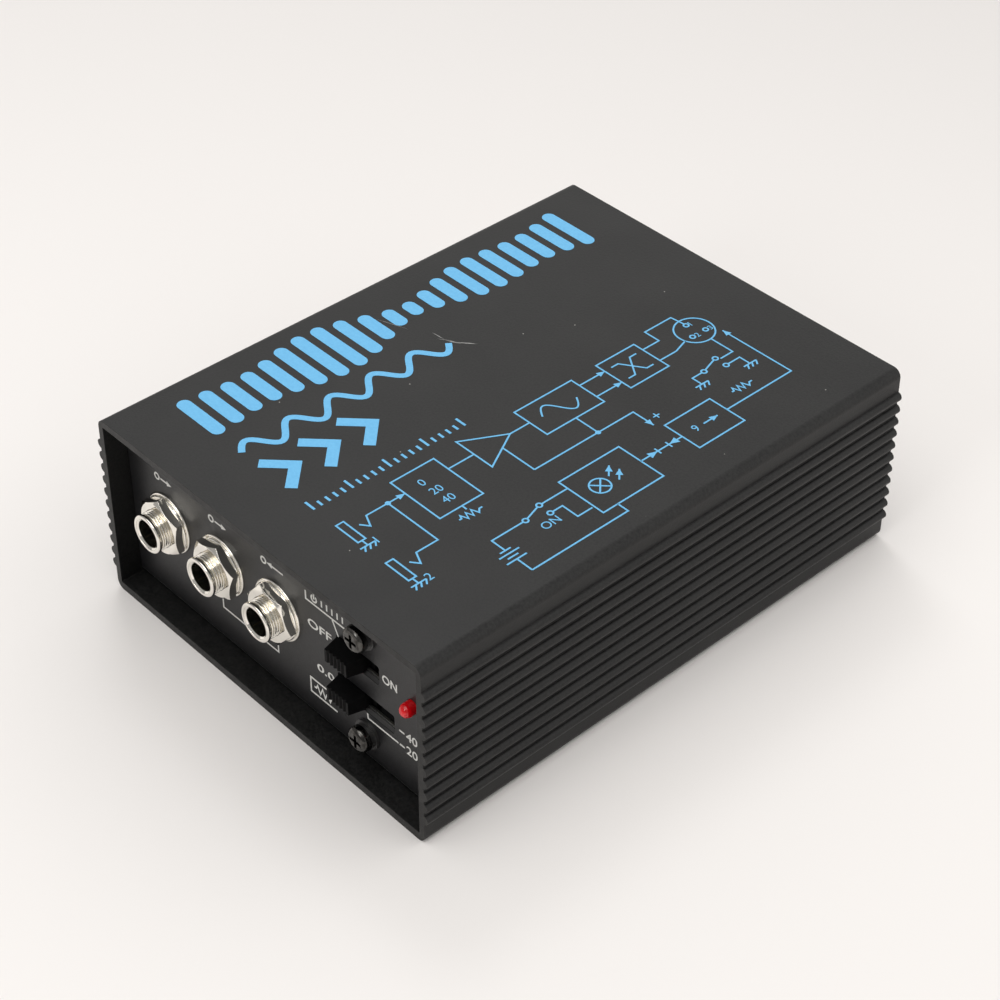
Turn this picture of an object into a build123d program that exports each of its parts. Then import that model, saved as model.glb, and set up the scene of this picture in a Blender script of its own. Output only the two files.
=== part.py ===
from build123d import *
import os
from math import cos, hypot, radians, sin

os.makedirs("parts", exist_ok=True)

# A direct injection box. X runs across it, Y from the jack end to the output
# end and Z up. The origin lies under the middle of its flat bottom.
# Sizes are in millimetres.

# Casing: an extruded aluminium sleeve, open at both ends
casing_width = 102.0
casing_depth = 136.0
casing_height = 46.4
side_wall = 1.5
top_wall = 1.7
floor_wall = 2.0
casing_corner = 2.0
inner_corner = 0.25
rib_radius = 1.15
rib_inset = 0.15
rib_pitch = 3.285
rib_count = 11
lowest_rib = 6.7

# End panels: folded steel sheet, set back inside the sleeve
panel_recess = 5.3
panel_thickness = 1.2
panel_clearance = 0.3
panel_flange = 10.5
bend_radius = 0.8

# Chassis plate that ties the two end panels together
chassis_thickness = 1.0
chassis_side_gap = 0.9
chassis_lip = 5.0
chassis_end_gap = 1.6

# Casing screws, countersunk in the floor, with nuts pressed on the plate
floor_screw_radius = 1.5
floor_screw_head = 2.9
floor_screw_x = 38.0
floor_screw_inset = 5.0
floor_screw_end = 0.8
nut_flats = 5.5
nut_height = 2.2
screw_fit = 0.1

# Quarter-inch jacks
jack_count = 3
jack_pitch = 18.35
jack_row_share = 0.45
jack_rise = 1.2
jack_bore = 3.25
jack_thread = 4.45
jack_reach = 6.1
jack_ring = 1.3
jack_groove = 0.55
jack_groove_depth = 0.5
jack_flange = 6.6
jack_flange_thickness = 1.2
jack_tail = 4.0
jack_hole_fit = 0.15
jack_washer = 7.2
jack_washer_thickness = 0.55
jack_lock_washer = 6.65
jack_lock_washer_thickness = 0.5
jack_nut_flats = 12.2
jack_nut_height = 2.05
jack_nut_turns = (30.0, -17.5, 10.0)
housing_width = 15.6
housing_depth = 25.5
housing_above = 8.4
housing_wall = 1.5
cavity_width = 9.6
cavity_height = 12.4
spring_width = 3.2
spring_thickness = 0.5

# Slide switches behind an end panel
knob_base = 8.0
knob_base_height = 4.1
knob_tip = 6.6
knob_tip_height = 3.2
knob_reach = 3.9
knob_teeth = 6
tooth_depth = 0.45
switch_step = 4.2
slot_clearance = 0.4
slot_height = 5.0
slot_corner = 0.6
upper_switch_rise = 4.9
lower_switch_drop = 5.2
lever_length = 7.6
lever_height = 3.2
lever_clearance = 0.35
frame_thickness = 0.5
frame_height = 9.0
frame_depth = 6.0
shuttle_length = 10.0
shuttle_height = 5.6
shuttle_depth = 2.8
shuttle_gap = 0.3
base_end_wall = 1.2
terminal_size = 0.8
terminal_rows = 3.6
terminal_end = 1.0

# Switch boards, each held by two screws through its end panel
module_screw_spacing = 27.0
front_module_inset = 22.8
rear_module_inset = 29.0
front_slot_offset = 8.9
board_thickness = 1.6
switch_board_height = 33.0
front_board_left = 12.6
front_board_right = 17.0
rear_board_half = 13.5
nut_notch = 1.0
standoff_flats = 5.0
pan_screw_radius = 1.45
pan_head_radius = 2.95
board_head_radius = 2.65
pan_head_height = 2.0
cross_width = 0.75
cross_reach = 1.7
cross_depth = 1.1
flat_washer = 3.4
flat_washer_thickness = 0.6
spring_washer = 2.75
spring_washer_thickness = 0.9
spring_split = 0.4

# Flat cable from each switch board to the main board
cable_width = 12.0
cable_thickness = 0.8
cable_reach = 8.0
cable_bend = 4.0

# Power lamp
lamp_inset = 9.0
lamp_rise = 4.0
lamp_radius = 1.6
lamp_reach = 2.9
lamp_flange = 2.0
lamp_flange_thickness = 1.0
lamp_fit = 0.1
lamp_lead = 0.25
lamp_lead_spacing = 2.54

# Main board, on spacers above the chassis plate
board_z = 11.4
board_side_gap = 3.4
board_end_gap = 1.2
board_cut_gap = 1.0
spacer_flats = 5.5
spacer_stud = 1.4
resistor_pitch = 3.4
large_can = 5.0
medium_can = 4.0
small_can = 3.2
can_inset = 10.0
far_can_inset = 22.5
film_inset = 15.5
resistor_inset = 13.0
spacer_inset = 8.0
part_gap = 1.15
chip_half = 4.7
resistor_half = 5.1
rear_resistor_inset = 4.9
rear_can_inset = 13.9

# XLR output socket
xlr_inset = 31.0
xlr_flange_width = 26.0
xlr_flange_height = 31.0
xlr_flange_corner = 3.0
xlr_flange_thickness = 2.0
xlr_barrel = 11.2
xlr_bore = 8.1
xlr_depth = 18.0
xlr_cup = 14.5
xlr_pin = 1.2
xlr_pin_circle = 4.6
xlr_pin_length = 12.5
xlr_tail = 0.6
xlr_tail_reach = 4.0
xlr_tail_bend = 1.2
xlr_screw_x = 9.5
xlr_screw_z = 12.0
xlr_fit = 0.2

# Battery, its case and its hinged door in the floor
battery_y = 12.0
battery_length = 48.5
battery_width = 26.5
battery_thickness = 17.5
battery_side_gap = 0.5
battery_z = 4.2
snap_length = 4.4
snap_width = 24.0
snap_height = 12.0
pad_thickness = 1.5
case_wall = 1.5
case_flange = 5.0
case_flange_thickness = 1.2
case_end_gap = 0.65
lead_radius = 0.65
lead_spacing = 5.0
lead_rise = 2.5
lead_reach = 5.0
lead_bend = 2.2
door_thickness = 1.6
door_recess = 0.25
door_gap = 0.35
door_rib = 1.2
door_rib_gap = 0.3
hinge_pin = 0.75
hinge_fit = 0.1
knuckle_radius = 1.6
knuckle_length = 29.8
lug_width = 4.4
hinge_side_gap = 0.4
hinge_end_gap = 0.7

# Heights and faces that follow from the sizes above
casing_front = -casing_depth / 2
inner_half = casing_width / 2 - side_wall
inner_top = casing_height - top_wall
panel_face = casing_front + panel_recess
panel_back = panel_face + panel_thickness
panel_half = inner_half - panel_clearance
panel_top = inner_top - panel_clearance
chassis_z = floor_wall + panel_thickness
chassis_top = chassis_z + chassis_thickness
board_top = board_z + board_thickness
switch_board_face = panel_back + frame_depth
switch_board_back = switch_board_face + board_thickness
module_z = casing_height / 2
module_zs = [module_z - module_screw_spacing / 2, module_z + module_screw_spacing / 2]
upper_switch_z = module_z + upper_switch_rise
lower_switch_z = module_z - lower_switch_drop
front_module_x = casing_width / 2 - front_module_inset
rear_module_x = rear_module_inset - casing_width / 2
front_knob_x = front_module_x - front_slot_offset + slot_clearance + knob_base / 2
rear_knob_x = rear_module_x - switch_step / 2
lamp_x = casing_width / 2 - lamp_inset
lamp_z = module_z + lamp_rise
xlr_x = casing_width / 2 - xlr_inset
xlr_z = module_z

# The jacks share the room between the left wall and the front switch board
jack_z = module_z + jack_rise
jack_row = housing_width + jack_pitch * (jack_count - 1)
jack_room = inner_half + front_module_x - front_board_left
first_jack_x = housing_width / 2 - inner_half + (jack_room - jack_row) * jack_row_share
jack_xs = [first_jack_x + jack_pitch * n for n in range(jack_count)]


def block(x_from, x_to, y_from, y_to, z_from, z_to):
    centre = Pos((x_from + x_to) / 2, (y_from + y_to) / 2, (z_from + z_to) / 2)
    return centre * Box(x_to - x_from, y_to - y_from, z_to - z_from)


def rod_x(radius, x_from, x_to, y, z):
    return Pos((x_from + x_to) / 2, y, z) * Rot(0, 90, 0) * Cylinder(radius, x_to - x_from)


def rod_y(radius, y_from, y_to, x, z):
    return Pos(x, (y_from + y_to) / 2, z) * Rot(90, 0, 0) * Cylinder(radius, y_to - y_from)


def rod_z(radius, z_from, z_to, x, y):
    return Pos(x, y, (z_from + z_to) / 2) * Cylinder(radius, z_to - z_from)


def end_plane(x, y, z):
    # A plane across Y, for outlines drawn as an end panel is seen
    return Plane((x, y, z), x_dir=(1, 0, 0), z_dir=(0, 1, 0))


def bar_y(length, height, corner, y_from, y_to, x, z):
    outline = end_plane(x, y_from, z) * RectangleRounded(length, height, corner)
    return extrude(outline, y_to - y_from, dir=(0, 1, 0))


def hexagon_y(flats, y_from, y_to, x, z, turn=0):
    outline = end_plane(x, y_from, z) * Rot(0, 0, turn) * RegularPolygon(flats / 2, 6, major_radius=False)
    return extrude(outline, y_to - y_from, dir=(0, 1, 0))


def hexagon_z(flats, z_from, z_to, x, y):
    outline = Pos(x, y, z_from) * RegularPolygon(flats / 2, 6, major_radius=False)
    return extrude(outline, z_to - z_from)


def turned(shape):
    # From the jack end to the output end
    return Rot(0, 0, 180) * shape


def write(node, *pieces):
    solids = [solid for piece in pieces for solid in piece.solids()]
    export_step(solids[0] if len(solids) == 1 else Compound(children=solids), f"parts/{node}.step")


# Hinge line of the battery door, behind the battery's long side
opening_half = battery_length / 2 + snap_length / 2 + battery_side_gap
case_rim = case_wall + battery_side_gap + case_flange
chassis_half = inner_half - chassis_side_gap
battery_x = chassis_half - chassis_thickness - case_end_gap - case_rim - opening_half
opening_front = battery_y - battery_width / 2 - battery_side_gap
opening_back = battery_y + battery_width / 2 + battery_side_gap
hinge_half = knuckle_length / 2 + lug_width + 2 * hinge_side_gap
hinge_y = opening_back + door_gap + knuckle_radius
hinge_z = door_recess + knuckle_radius
hinge_end = hinge_y + knuckle_radius + hinge_end_gap
case_left = battery_x - opening_half
case_right = battery_x + opening_half
battery_right = case_right - battery_side_gap
battery_left = battery_right - battery_length
case_ceiling = battery_z + battery_thickness + pad_thickness


def floor_screw_places():
    y = panel_face + floor_screw_inset
    return [(x, side * y) for side in (1, -1) for x in (-floor_screw_x, floor_screw_x)]


def casing():
    outline = Pos(0, casing_height / 2) * RectangleRounded(casing_width, casing_height, casing_corner)
    for n in range(rib_count):
        for side in (-1, 1):
            rib_x = side * (casing_width / 2 - rib_inset)
            outline += Pos(rib_x, lowest_rib + n * rib_pitch) * Circle(rib_radius)
    inside_z = (floor_wall + inner_top) / 2
    outline -= Pos(0, inside_z) * RectangleRounded(2 * inner_half, inner_top - floor_wall, inner_corner)
    sleeve = extrude(Plane.XZ * outline, casing_depth / 2, both=True)
    sleeve -= block(case_left, case_right, opening_front, opening_back, -1, floor_wall + 1)
    hinge_bay = block(
        battery_x - hinge_half, battery_x + hinge_half, opening_back - 1, hinge_end, -1, floor_wall + 1
    )
    sleeve -= hinge_bay
    for x, y in floor_screw_places():
        sleeve -= rod_z(floor_screw_radius + screw_fit, -1, floor_wall + 1, x, y)
        sleeve -= floor_screw_cone(x, y, screw_fit)
    return sleeve


def floor_screw_cone(x, y, clearance):
    depth = floor_screw_head - floor_screw_radius
    cone = Cone(floor_screw_head + clearance, floor_screw_radius + clearance, depth)
    return Pos(x, y, depth / 2) * cone


def folded_panel():
    back = panel_face + panel_flange
    sheet = block(-panel_half, panel_half, panel_face, back, floor_wall, panel_top)
    outer_edges = sheet.edges().filter_by(Axis.X).group_by(Axis.Y)[0]
    sheet = fillet(outer_edges, bend_radius + panel_thickness)
    inside = block(
        -panel_half, panel_half, panel_back, back, floor_wall + panel_thickness, panel_top - panel_thickness
    )
    inner_edges = inside.edges().filter_by(Axis.X).group_by(Axis.Y)[0]
    sheet -= fillet(inner_edges, bend_radius)
    for x in (-floor_screw_x, floor_screw_x):
        y = panel_face + floor_screw_inset
        sheet -= rod_z(floor_screw_radius + screw_fit, 0, chassis_z + 1, x, y)
    return sheet


def through_panel(radius, x, z):
    return rod_y(radius, panel_face - 1, panel_back + 0.5, x, z)


def switch_slot(knob_x, z, steps):
    travel = steps * switch_step
    length = knob_base + travel + 2 * slot_clearance
    return bar_y(length, slot_height, slot_corner, panel_face - 1, panel_back + 0.5, knob_x + travel / 2, z)


def front_panel():
    sheet = folded_panel()
    for x in jack_xs:
        sheet -= through_panel(jack_thread + jack_hole_fit, x, jack_z)
    for z in module_zs:
        sheet -= through_panel(pan_screw_radius + screw_fit, front_module_x, z)
    sheet -= switch_slot(front_knob_x, upper_switch_z, 1)
    sheet -= switch_slot(front_knob_x, lower_switch_z, 2)
    sheet -= through_panel(lamp_radius + lamp_fit, lamp_x, lamp_z)
    return sheet


def xlr_screw_places():
    return [(xlr_x - xlr_screw_x, xlr_z + xlr_screw_z), (xlr_x + xlr_screw_x, xlr_z - xlr_screw_z)]


def rear_panel():
    sheet = folded_panel()
    for z in module_zs:
        sheet -= through_panel(pan_screw_radius + screw_fit, rear_module_x, z)
    for z in (upper_switch_z, lower_switch_z):
        sheet -= switch_slot(rear_knob_x, z, 1)
    sheet -= through_panel(xlr_barrel + xlr_fit, xlr_x, xlr_z)
    for x, z in xlr_screw_places():
        sheet -= through_panel(floor_screw_radius + screw_fit, x, z)
    return turned(sheet)


def chassis_plate():
    half = chassis_half
    end = -(panel_back + chassis_end_gap)
    plate = block(-half, half, -end, end, chassis_z, chassis_top)
    for side in (-1, 1):
        lip = sorted((side * half, side * (half - chassis_thickness)))
        plate += block(lip[0], lip[1], -end, end, chassis_z, chassis_top + chassis_lip)
    skirt = case_wall + battery_side_gap
    plate -= block(
        case_left - skirt, case_right + skirt, opening_front - skirt, hinge_end + skirt, 0, chassis_top + 1
    )
    for x, y in floor_screw_places():
        plate -= rod_z(floor_screw_radius + screw_fit, chassis_z - 1, chassis_top + 1, x, y)
    for x, y in spacer_places():
        plate -= rod_z(spacer_stud, chassis_z - 1, chassis_top + 1, x, y)
    for x, y in case_screw_places():
        plate -= rod_z(floor_screw_radius, chassis_z - 1, chassis_top + 1, x, y)
    return plate


def casing_screws():
    screws = []
    for x, y in floor_screw_places():
        top = chassis_top + nut_height + floor_screw_end
        screw = floor_screw_cone(x, y, 0) + rod_z(floor_screw_radius, 0, top, x, y)
        screws.append(screw - cross_recess_z(x, y, 0))
    return screws


def cross_recess_z(x, y, face):
    slots = Box(2 * cross_reach, cross_width, 2 * cross_depth)
    slots += Box(cross_width, 2 * cross_reach, 2 * cross_depth)
    return Pos(x, y, face) * slots


def pressed_nuts():
    nuts = []
    for x, y in floor_screw_places():
        nut = hexagon_z(nut_flats, chassis_top, chassis_top + nut_height, x, y)
        bore = rod_z(floor_screw_radius + screw_fit, chassis_z, chassis_top + nut_height + 1, x, y)
        nuts.append(nut - bore)
    return nuts


# Jacks

def jack_bushing(x):
    rim = panel_face - jack_reach
    flange_back = panel_back + jack_flange_thickness
    bushing = rod_y(jack_thread, rim, flange_back + jack_tail, x, jack_z)
    rim_edge = bushing.edges().filter_by(GeomType.CIRCLE).sort_by(Axis.Y)[0]
    bushing = fillet(rim_edge, jack_ring / 2)
    bushing += rod_y(jack_flange, panel_back, flange_back, x, jack_z)
    groove_from = rim + jack_ring
    groove = rod_y(jack_thread + 1, groove_from, groove_from + jack_groove, x, jack_z)
    groove -= rod_y(jack_thread - jack_groove_depth, groove_from, groove_from + jack_groove, x, jack_z)
    bushing -= groove
    bushing -= rod_y(jack_bore, rim - 1, flange_back + jack_tail + 1, x, jack_z)
    mouth_edge = bushing.edges().filter_by(GeomType.CIRCLE).group_by(Axis.Y)[0]
    return chamfer(mouth_edge.sort_by(SortBy.RADIUS)[0], 0.25)


def jack_washer_ring(x):
    front = panel_face - jack_washer_thickness
    washer = rod_y(jack_washer, front, panel_face, x, jack_z)
    outer_edge = washer.edges().filter_by(GeomType.CIRCLE).sort_by(Axis.Y)[0]
    washer = fillet(outer_edge, jack_washer_thickness * 0.6)
    return washer - rod_y(jack_thread + jack_hole_fit, front - 1, panel_face + 1, x, jack_z)


def jack_lock_washer_ring(x):
    back = panel_face - jack_washer_thickness
    front = back - jack_lock_washer_thickness
    washer = rod_y(jack_lock_washer, front, back, x, jack_z)
    outer_edge = washer.edges().filter_by(GeomType.CIRCLE).sort_by(Axis.Y)[0]
    washer = chamfer(outer_edge, jack_lock_washer_thickness * 0.4)
    return washer - rod_y(jack_thread + jack_hole_fit, front - 1, back + 1, x, jack_z)


def jack_nut(x, turn):
    back = panel_face - jack_washer_thickness - jack_lock_washer_thickness
    front = back - jack_nut_height
    nut = hexagon_y(jack_nut_flats, front, back, x, jack_z, turn)
    corner = jack_nut_flats / 2 / cos(radians(30))
    # The corners of the nut are turned down to a cone at its front face
    slope = corner - jack_nut_flats / 2
    cone = Pos(x, (front + back) / 2, jack_z) * Rot(90, 0, 0) * Cone(
        corner + jack_nut_height * 1.6 - slope, jack_nut_flats / 2 - 0.15, jack_nut_height
    )
    nut = nut & cone
    return nut - rod_y(jack_thread, front - 1, back + 1, x, jack_z)


def jack_housing(x):
    half = housing_width / 2
    back = panel_back + housing_depth
    body = block(x - half, x + half, panel_back, back, board_top, jack_z + housing_above)
    long_edges = body.edges().filter_by(Axis.Y).group_by(Axis.Z)[-1]
    body = chamfer(long_edges, 1.0)
    body -= rod_y(jack_flange, panel_back - 1, panel_back + jack_flange_thickness, x, jack_z)
    tail_end = panel_back + jack_flange_thickness + jack_tail
    body -= rod_y(jack_thread, panel_back, tail_end, x, jack_z)
    half_cavity = cavity_width / 2
    cavity_bottom = jack_z - cavity_height / 2
    cavity = block(
        x - half_cavity, x + half_cavity, tail_end, back - housing_wall,
        cavity_bottom, jack_z + cavity_height / 2
    )
    return body - cavity


def spring_strip(x, outline):
    # A sheet-metal spring, bent to an outline in the YZ plane
    strip = trace(FilletPolyline(*outline, radius=0.8), spring_thickness)
    face = Plane((x - spring_width / 2, 0, 0), x_dir=(0, 1, 0), z_dir=(1, 0, 0)) * strip
    return extrude(face, spring_width, dir=(1, 0, 0))


def jack_spring_outlines():
    ceiling = jack_z + cavity_height / 2 - spring_thickness
    floor = jack_z - cavity_height / 2 + spring_thickness
    back = panel_back + housing_depth - housing_wall
    front = panel_back + jack_flange_thickness + jack_tail
    tip = [(back, ceiling), (back - 6.0, ceiling), (back - 3.6, jack_z + 2.2), (back - 1.2, jack_z + 4.0)]
    touch = jack_z - jack_bore
    sleeve = [(front, floor), (front + 7.0, floor), (front + 9.5, touch), (front + 11.0, floor + 1.0)]
    return tip, sleeve


def jack_tip_spring(x):
    return spring_strip(x, jack_spring_outlines()[0])


def jack_sleeve_spring(x):
    return spring_strip(x, jack_spring_outlines()[1])


# Slide switches, lamp and their boards

def switch_window_length(steps):
    return lever_length + steps * switch_step + 2 * lever_clearance


def switch_channel_length(steps):
    return shuttle_length + steps * switch_step + 2 * shuttle_gap


def switch_frame(knob_x, z, steps):
    x = knob_x + steps * switch_step / 2
    length = switch_channel_length(steps) + 2 * (base_end_wall + frame_thickness)
    half = length / 2
    top = frame_height / 2
    back = panel_back + frame_depth
    frame = block(x - half, x + half, panel_back, back, z - top, z + top)
    inside = top - frame_thickness
    frame -= block(x - half, x + half, panel_back + frame_thickness, back, z - inside, z + inside)
    window_height = lever_height + 2 * lever_clearance
    frame -= bar_y(
        switch_window_length(steps), window_height, window_height * 0.3, panel_back - 1, back, x, z
    )
    return frame


def switch_base(knob_x, z, steps):
    x = knob_x + steps * switch_step / 2
    half = switch_channel_length(steps) / 2 + base_end_wall
    top = frame_height / 2 - frame_thickness
    front = panel_back + frame_thickness
    base = block(x - half, x + half, front, switch_board_face, z - top, z + top)
    channel_half = switch_channel_length(steps) / 2
    channel_top = shuttle_height / 2 + shuttle_gap
    channel_back = front + shuttle_depth + 2 * shuttle_gap
    base -= block(x - channel_half, x + channel_half, front, channel_back, z - channel_top, z + channel_top)
    for px, pz in terminal_places(knob_x, z, steps):
        base -= terminal(px, pz)
    return base


def terminal_places(knob_x, z, steps):
    columns = range(steps + 2)
    first = knob_x - switch_step / 2
    return [(first + n * switch_step, z + side * terminal_rows / 2) for n in columns for side in (-1, 1)]


def terminal(x, z):
    half = terminal_size / 2
    front = switch_board_face - shuttle_gap * 3
    return block(x - half, x + half, front, switch_board_back + terminal_end, z - half, z + half)


def switch_terminals():
    front = [(front_knob_x, upper_switch_z, 1), (front_knob_x, lower_switch_z, 2)]
    rear = [(rear_knob_x, upper_switch_z, 1), (rear_knob_x, lower_switch_z, 1)]
    pins = [terminal(x, z) for switch in front for x, z in terminal_places(*switch)]
    return pins + [turned(terminal(x, z)) for switch in rear for x, z in terminal_places(*switch)]


def switch_knob(x, z):
    # The grip tapers towards its toothed face
    grip_base = end_plane(x, panel_face, z) * Rectangle(knob_base, knob_base_height)
    grip_tip = end_plane(x, panel_face - knob_reach, z) * Rectangle(knob_tip, knob_tip_height)
    knob = loft([grip_base.face(), grip_tip.face()])
    tooth_pitch = knob_tip / knob_teeth
    for n in range(1, knob_teeth):
        groove_x = x - knob_tip / 2 + n * tooth_pitch
        groove = Rot(0, 0, 45) * Box(tooth_depth * 1.4, tooth_depth * 1.4, knob_base_height * 2)
        knob -= Pos(groove_x, panel_face - knob_reach, z) * groove
    half = knob_base / 2
    waist = panel_back - lever_clearance
    knob += bar_y(knob_base, knob_base_height, 0.4, panel_face, waist, x, z)
    shuttle_front = panel_back + frame_thickness + shuttle_gap
    lever_half = lever_length / 2
    knob += block(
        x - lever_half, x + lever_half, waist, shuttle_front, z - lever_height / 2, z + lever_height / 2
    )
    half = shuttle_length / 2
    knob += block(
        x - half, x + half, shuttle_front, shuttle_front + shuttle_depth,
        z - shuttle_height / 2, z + shuttle_height / 2
    )
    return knob


def switch_board(left, right, module_x, switches, lamp):
    bottom = module_z - switch_board_height / 2
    board = block(
        module_x - left, module_x + right, switch_board_face, switch_board_back,
        bottom, bottom + switch_board_height
    )
    for z in module_zs:
        bore = pan_screw_radius + screw_fit
        board -= rod_y(bore, switch_board_face - 1, switch_board_back + 1, module_x, z)
    for switch in switches:
        for x, z in terminal_places(*switch):
            board -= terminal(x, z)
    if lamp:
        for x in lamp_lead_xs():
            board -= lamp_leg(x)
    # Notches round the nuts of the casing screws
    for side in (-1, 1):
        half = nut_flats / 2 + nut_notch
        x = side * floor_screw_x
        top = chassis_top + nut_height + nut_notch
        board -= block(x - half, x + half, switch_board_face - 1, switch_board_back + 1, 0, top)
    return board


def front_switch_board():
    switches = [(front_knob_x, upper_switch_z, 1), (front_knob_x, lower_switch_z, 2)]
    return switch_board(front_board_left, front_board_right, front_module_x, switches, True)


def rear_switch_board():
    switches = [(rear_knob_x, upper_switch_z, 1), (rear_knob_x, lower_switch_z, 1)]
    return turned(switch_board(rear_board_half, rear_board_half, rear_module_x, switches, False))


def module_pieces(make):
    # One piece at each of the two screws of each switch board
    front = [make(front_module_x, z) for z in module_zs]
    return front + [turned(make(rear_module_x, z)) for z in module_zs]


def module_standoff(x, z):
    spacer = hexagon_y(standoff_flats, panel_back, switch_board_face, x, z, 30)
    return spacer - rod_y(pan_screw_radius + screw_fit / 2, panel_back - 1, switch_board_face + 1, x, z)


def pan_head_y(x, z, seat):
    face = seat - pan_head_height
    head = rod_y(pan_head_radius, face, seat, x, z)
    rim = head.edges().filter_by(GeomType.CIRCLE).sort_by(Axis.Y)[0]
    head = fillet(rim, pan_head_height * 0.6)
    slots = Box(2 * cross_reach, 2 * cross_depth, cross_width)
    slots += Box(cross_width, 2 * cross_depth, 2 * cross_reach)
    return head, Pos(x, face, z) * slots


def panel_screw(x, z):
    seat = panel_face - flat_washer_thickness - spring_washer_thickness
    head, recess = pan_head_y(x, z, seat)
    grip = panel_back + frame_depth * 0.45
    return head + rod_y(pan_screw_radius, seat, grip, x, z) - recess


def panel_flat_washer(x, z):
    washer = rod_y(flat_washer, panel_face - flat_washer_thickness, panel_face, x, z)
    return washer - rod_y(pan_screw_radius + screw_fit, panel_face - 2, panel_face + 1, x, z)


def panel_spring_washer(x, z):
    # A ring split at a slant, pressed flat by the screw
    back = panel_face - flat_washer_thickness
    front = back - spring_washer_thickness
    washer = rod_y(spring_washer, front, back, x, z)
    washer -= rod_y(pan_screw_radius + screw_fit, front - 1, back + 1, x, z)
    split = Rot(0, 0, 25) * Box(spring_split, spring_washer_thickness * 3, spring_washer)
    return washer - Pos(x, (front + back) / 2, z - spring_washer) * split


def switch_board_screw(x, z):
    # Set from behind the board, so the head is mirrored about its seat
    head, recess = pan_head_y(x, z, switch_board_back)
    tip = switch_board_face - frame_depth * 0.4
    about = Plane((0, switch_board_back, 0), z_dir=(0, 1, 0))
    shank = rod_y(pan_screw_radius, tip, switch_board_back, x, z)
    return mirror(head, about) + shank - mirror(recess, about)


def lamp_lead_xs():
    return [lamp_x - lamp_lead_spacing / 2, lamp_x + lamp_lead_spacing / 2]


def lamp_leg(x):
    start = panel_back + lamp_flange_thickness
    return rod_y(lamp_lead, start, switch_board_back + terminal_end, x, lamp_z)


def lamp():
    front = panel_face - lamp_reach
    body = rod_y(lamp_radius, front + lamp_radius, panel_back, lamp_x, lamp_z)
    body += Pos(lamp_x, front + lamp_radius, lamp_z) * Sphere(lamp_radius)
    return body + rod_y(lamp_flange, panel_back, panel_back + lamp_flange_thickness, lamp_x, lamp_z)


# Main board and what stands on it

spacer_side = inner_half - spacer_inset
behind_switches = switch_board_back + 2 * spacer_inset


def spacer_places():
    behind_jacks = panel_back + housing_depth + spacer_inset
    return [
        (-spacer_side, behind_jacks),
        (spacer_side, behind_switches),
        (spacer_side, opening_front - spacer_inset),
        (-spacer_side, battery_y),
        (-spacer_side, -behind_switches),
        (spacer_side - rear_board_half * 2, hinge_end + 1.2 * spacer_inset),
    ]


def main_board():
    half = inner_half - board_side_gap
    end = -(panel_back + board_end_gap)
    board = block(-half, half, -end, end, board_z, board_top)
    switch_end = switch_board_back + 3.0
    board -= block(
        front_module_x - front_board_left - board_cut_gap, half, -end, switch_end, board_z - 1, board_top + 1
    )
    board -= block(
        -rear_module_x - rear_board_half - board_cut_gap, half, -switch_end, end, board_z - 1, board_top + 1
    )
    socket_half = xlr_flange_width / 2 + board_cut_gap
    socket_back = panel_face - xlr_flange_thickness + xlr_depth + board_cut_gap
    board -= block(
        -xlr_x - socket_half, -xlr_x + socket_half, -socket_back, end, board_z - 1, board_top + 1
    )
    wall = case_wall + board_cut_gap
    board -= block(
        case_left - wall, half, opening_front - wall, hinge_end + wall, board_z - 1, board_top + 1
    )
    for x, y in spacer_places():
        board -= rod_z(pan_screw_radius + screw_fit, board_z - 1, board_top + 1, x, y)
    return board


def board_spacer(x, y):
    spacer = hexagon_z(spacer_flats, chassis_top, board_z, x, y)
    spacer += rod_z(spacer_stud, chassis_z - 0.6, chassis_top, x, y)
    return spacer - rod_z(pan_screw_radius + screw_fit / 2, chassis_top + 1, board_z + 1, x, y)


def board_screw(x, y):
    head = Pos(x, y, board_top + pan_head_height / 2) * Cylinder(board_head_radius, pan_head_height)
    rim = head.edges().filter_by(GeomType.CIRCLE).sort_by(Axis.Z)[-1]
    head = fillet(rim, pan_head_height * 0.6)
    screw = head + rod_z(pan_screw_radius, board_z - 4.0, board_top, x, y)
    return screw - cross_recess_z(x, y, board_top + pan_head_height)


def electrolytic_capacitors():
    left = -inner_half + can_inset
    inner = (left + large_can + case_left - case_wall) / 2
    right = inner_half - far_can_inset
    between_spacers = (battery_y - behind_switches) / 2
    places = [
        (left, -12.0, large_can, 16.0),
        (left, 0.0, large_can, 16.0),
        (inner, -14.0, medium_can, 12.5),
        (inner, -4.0, small_can, 11.0),
        (left, between_spacers, large_can, 16.0),
        (inner, -behind_switches - rear_can_inset, small_can, 11.0),
        (right - 11.0, -22.0, medium_can, 12.5),
        (right, -22.0, medium_can, 12.5),
        (2.0, -12.0, small_can, 11.0),
        (11.0, -12.0, small_can, 11.0),
    ]
    cans = []
    for x, y, radius, height in places:
        can = rod_z(radius, board_top, board_top + height, x, y)
        rim = can.edges().filter_by(GeomType.CIRCLE).sort_by(Axis.Z)[-1]
        cans.append(fillet(rim, 0.6))
    return cans


def op_amp_chip(x, y):
    body = block(x - chip_half, x + chip_half, y - 3.2, y + 3.2, board_top + 0.8, board_top + 4.1)
    legs = [x + (n - 1.5) * 2.54 for n in range(4)]
    for leg_x in legs:
        for side in (-1, 1):
            leg = sorted((y + side * 3.1, y + side * 3.9))
            body += block(leg_x - 0.3, leg_x + 0.3, leg[0], leg[1], board_top, board_top + 2.4)
    return body


def film_capacitor(x, y):
    body = block(x - 3.6, x + 3.6, y - 1.4, y + 1.4, board_top, board_top + 7.0)
    return fillet(body.edges().filter_by(Axis.Z), 0.8)


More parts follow.
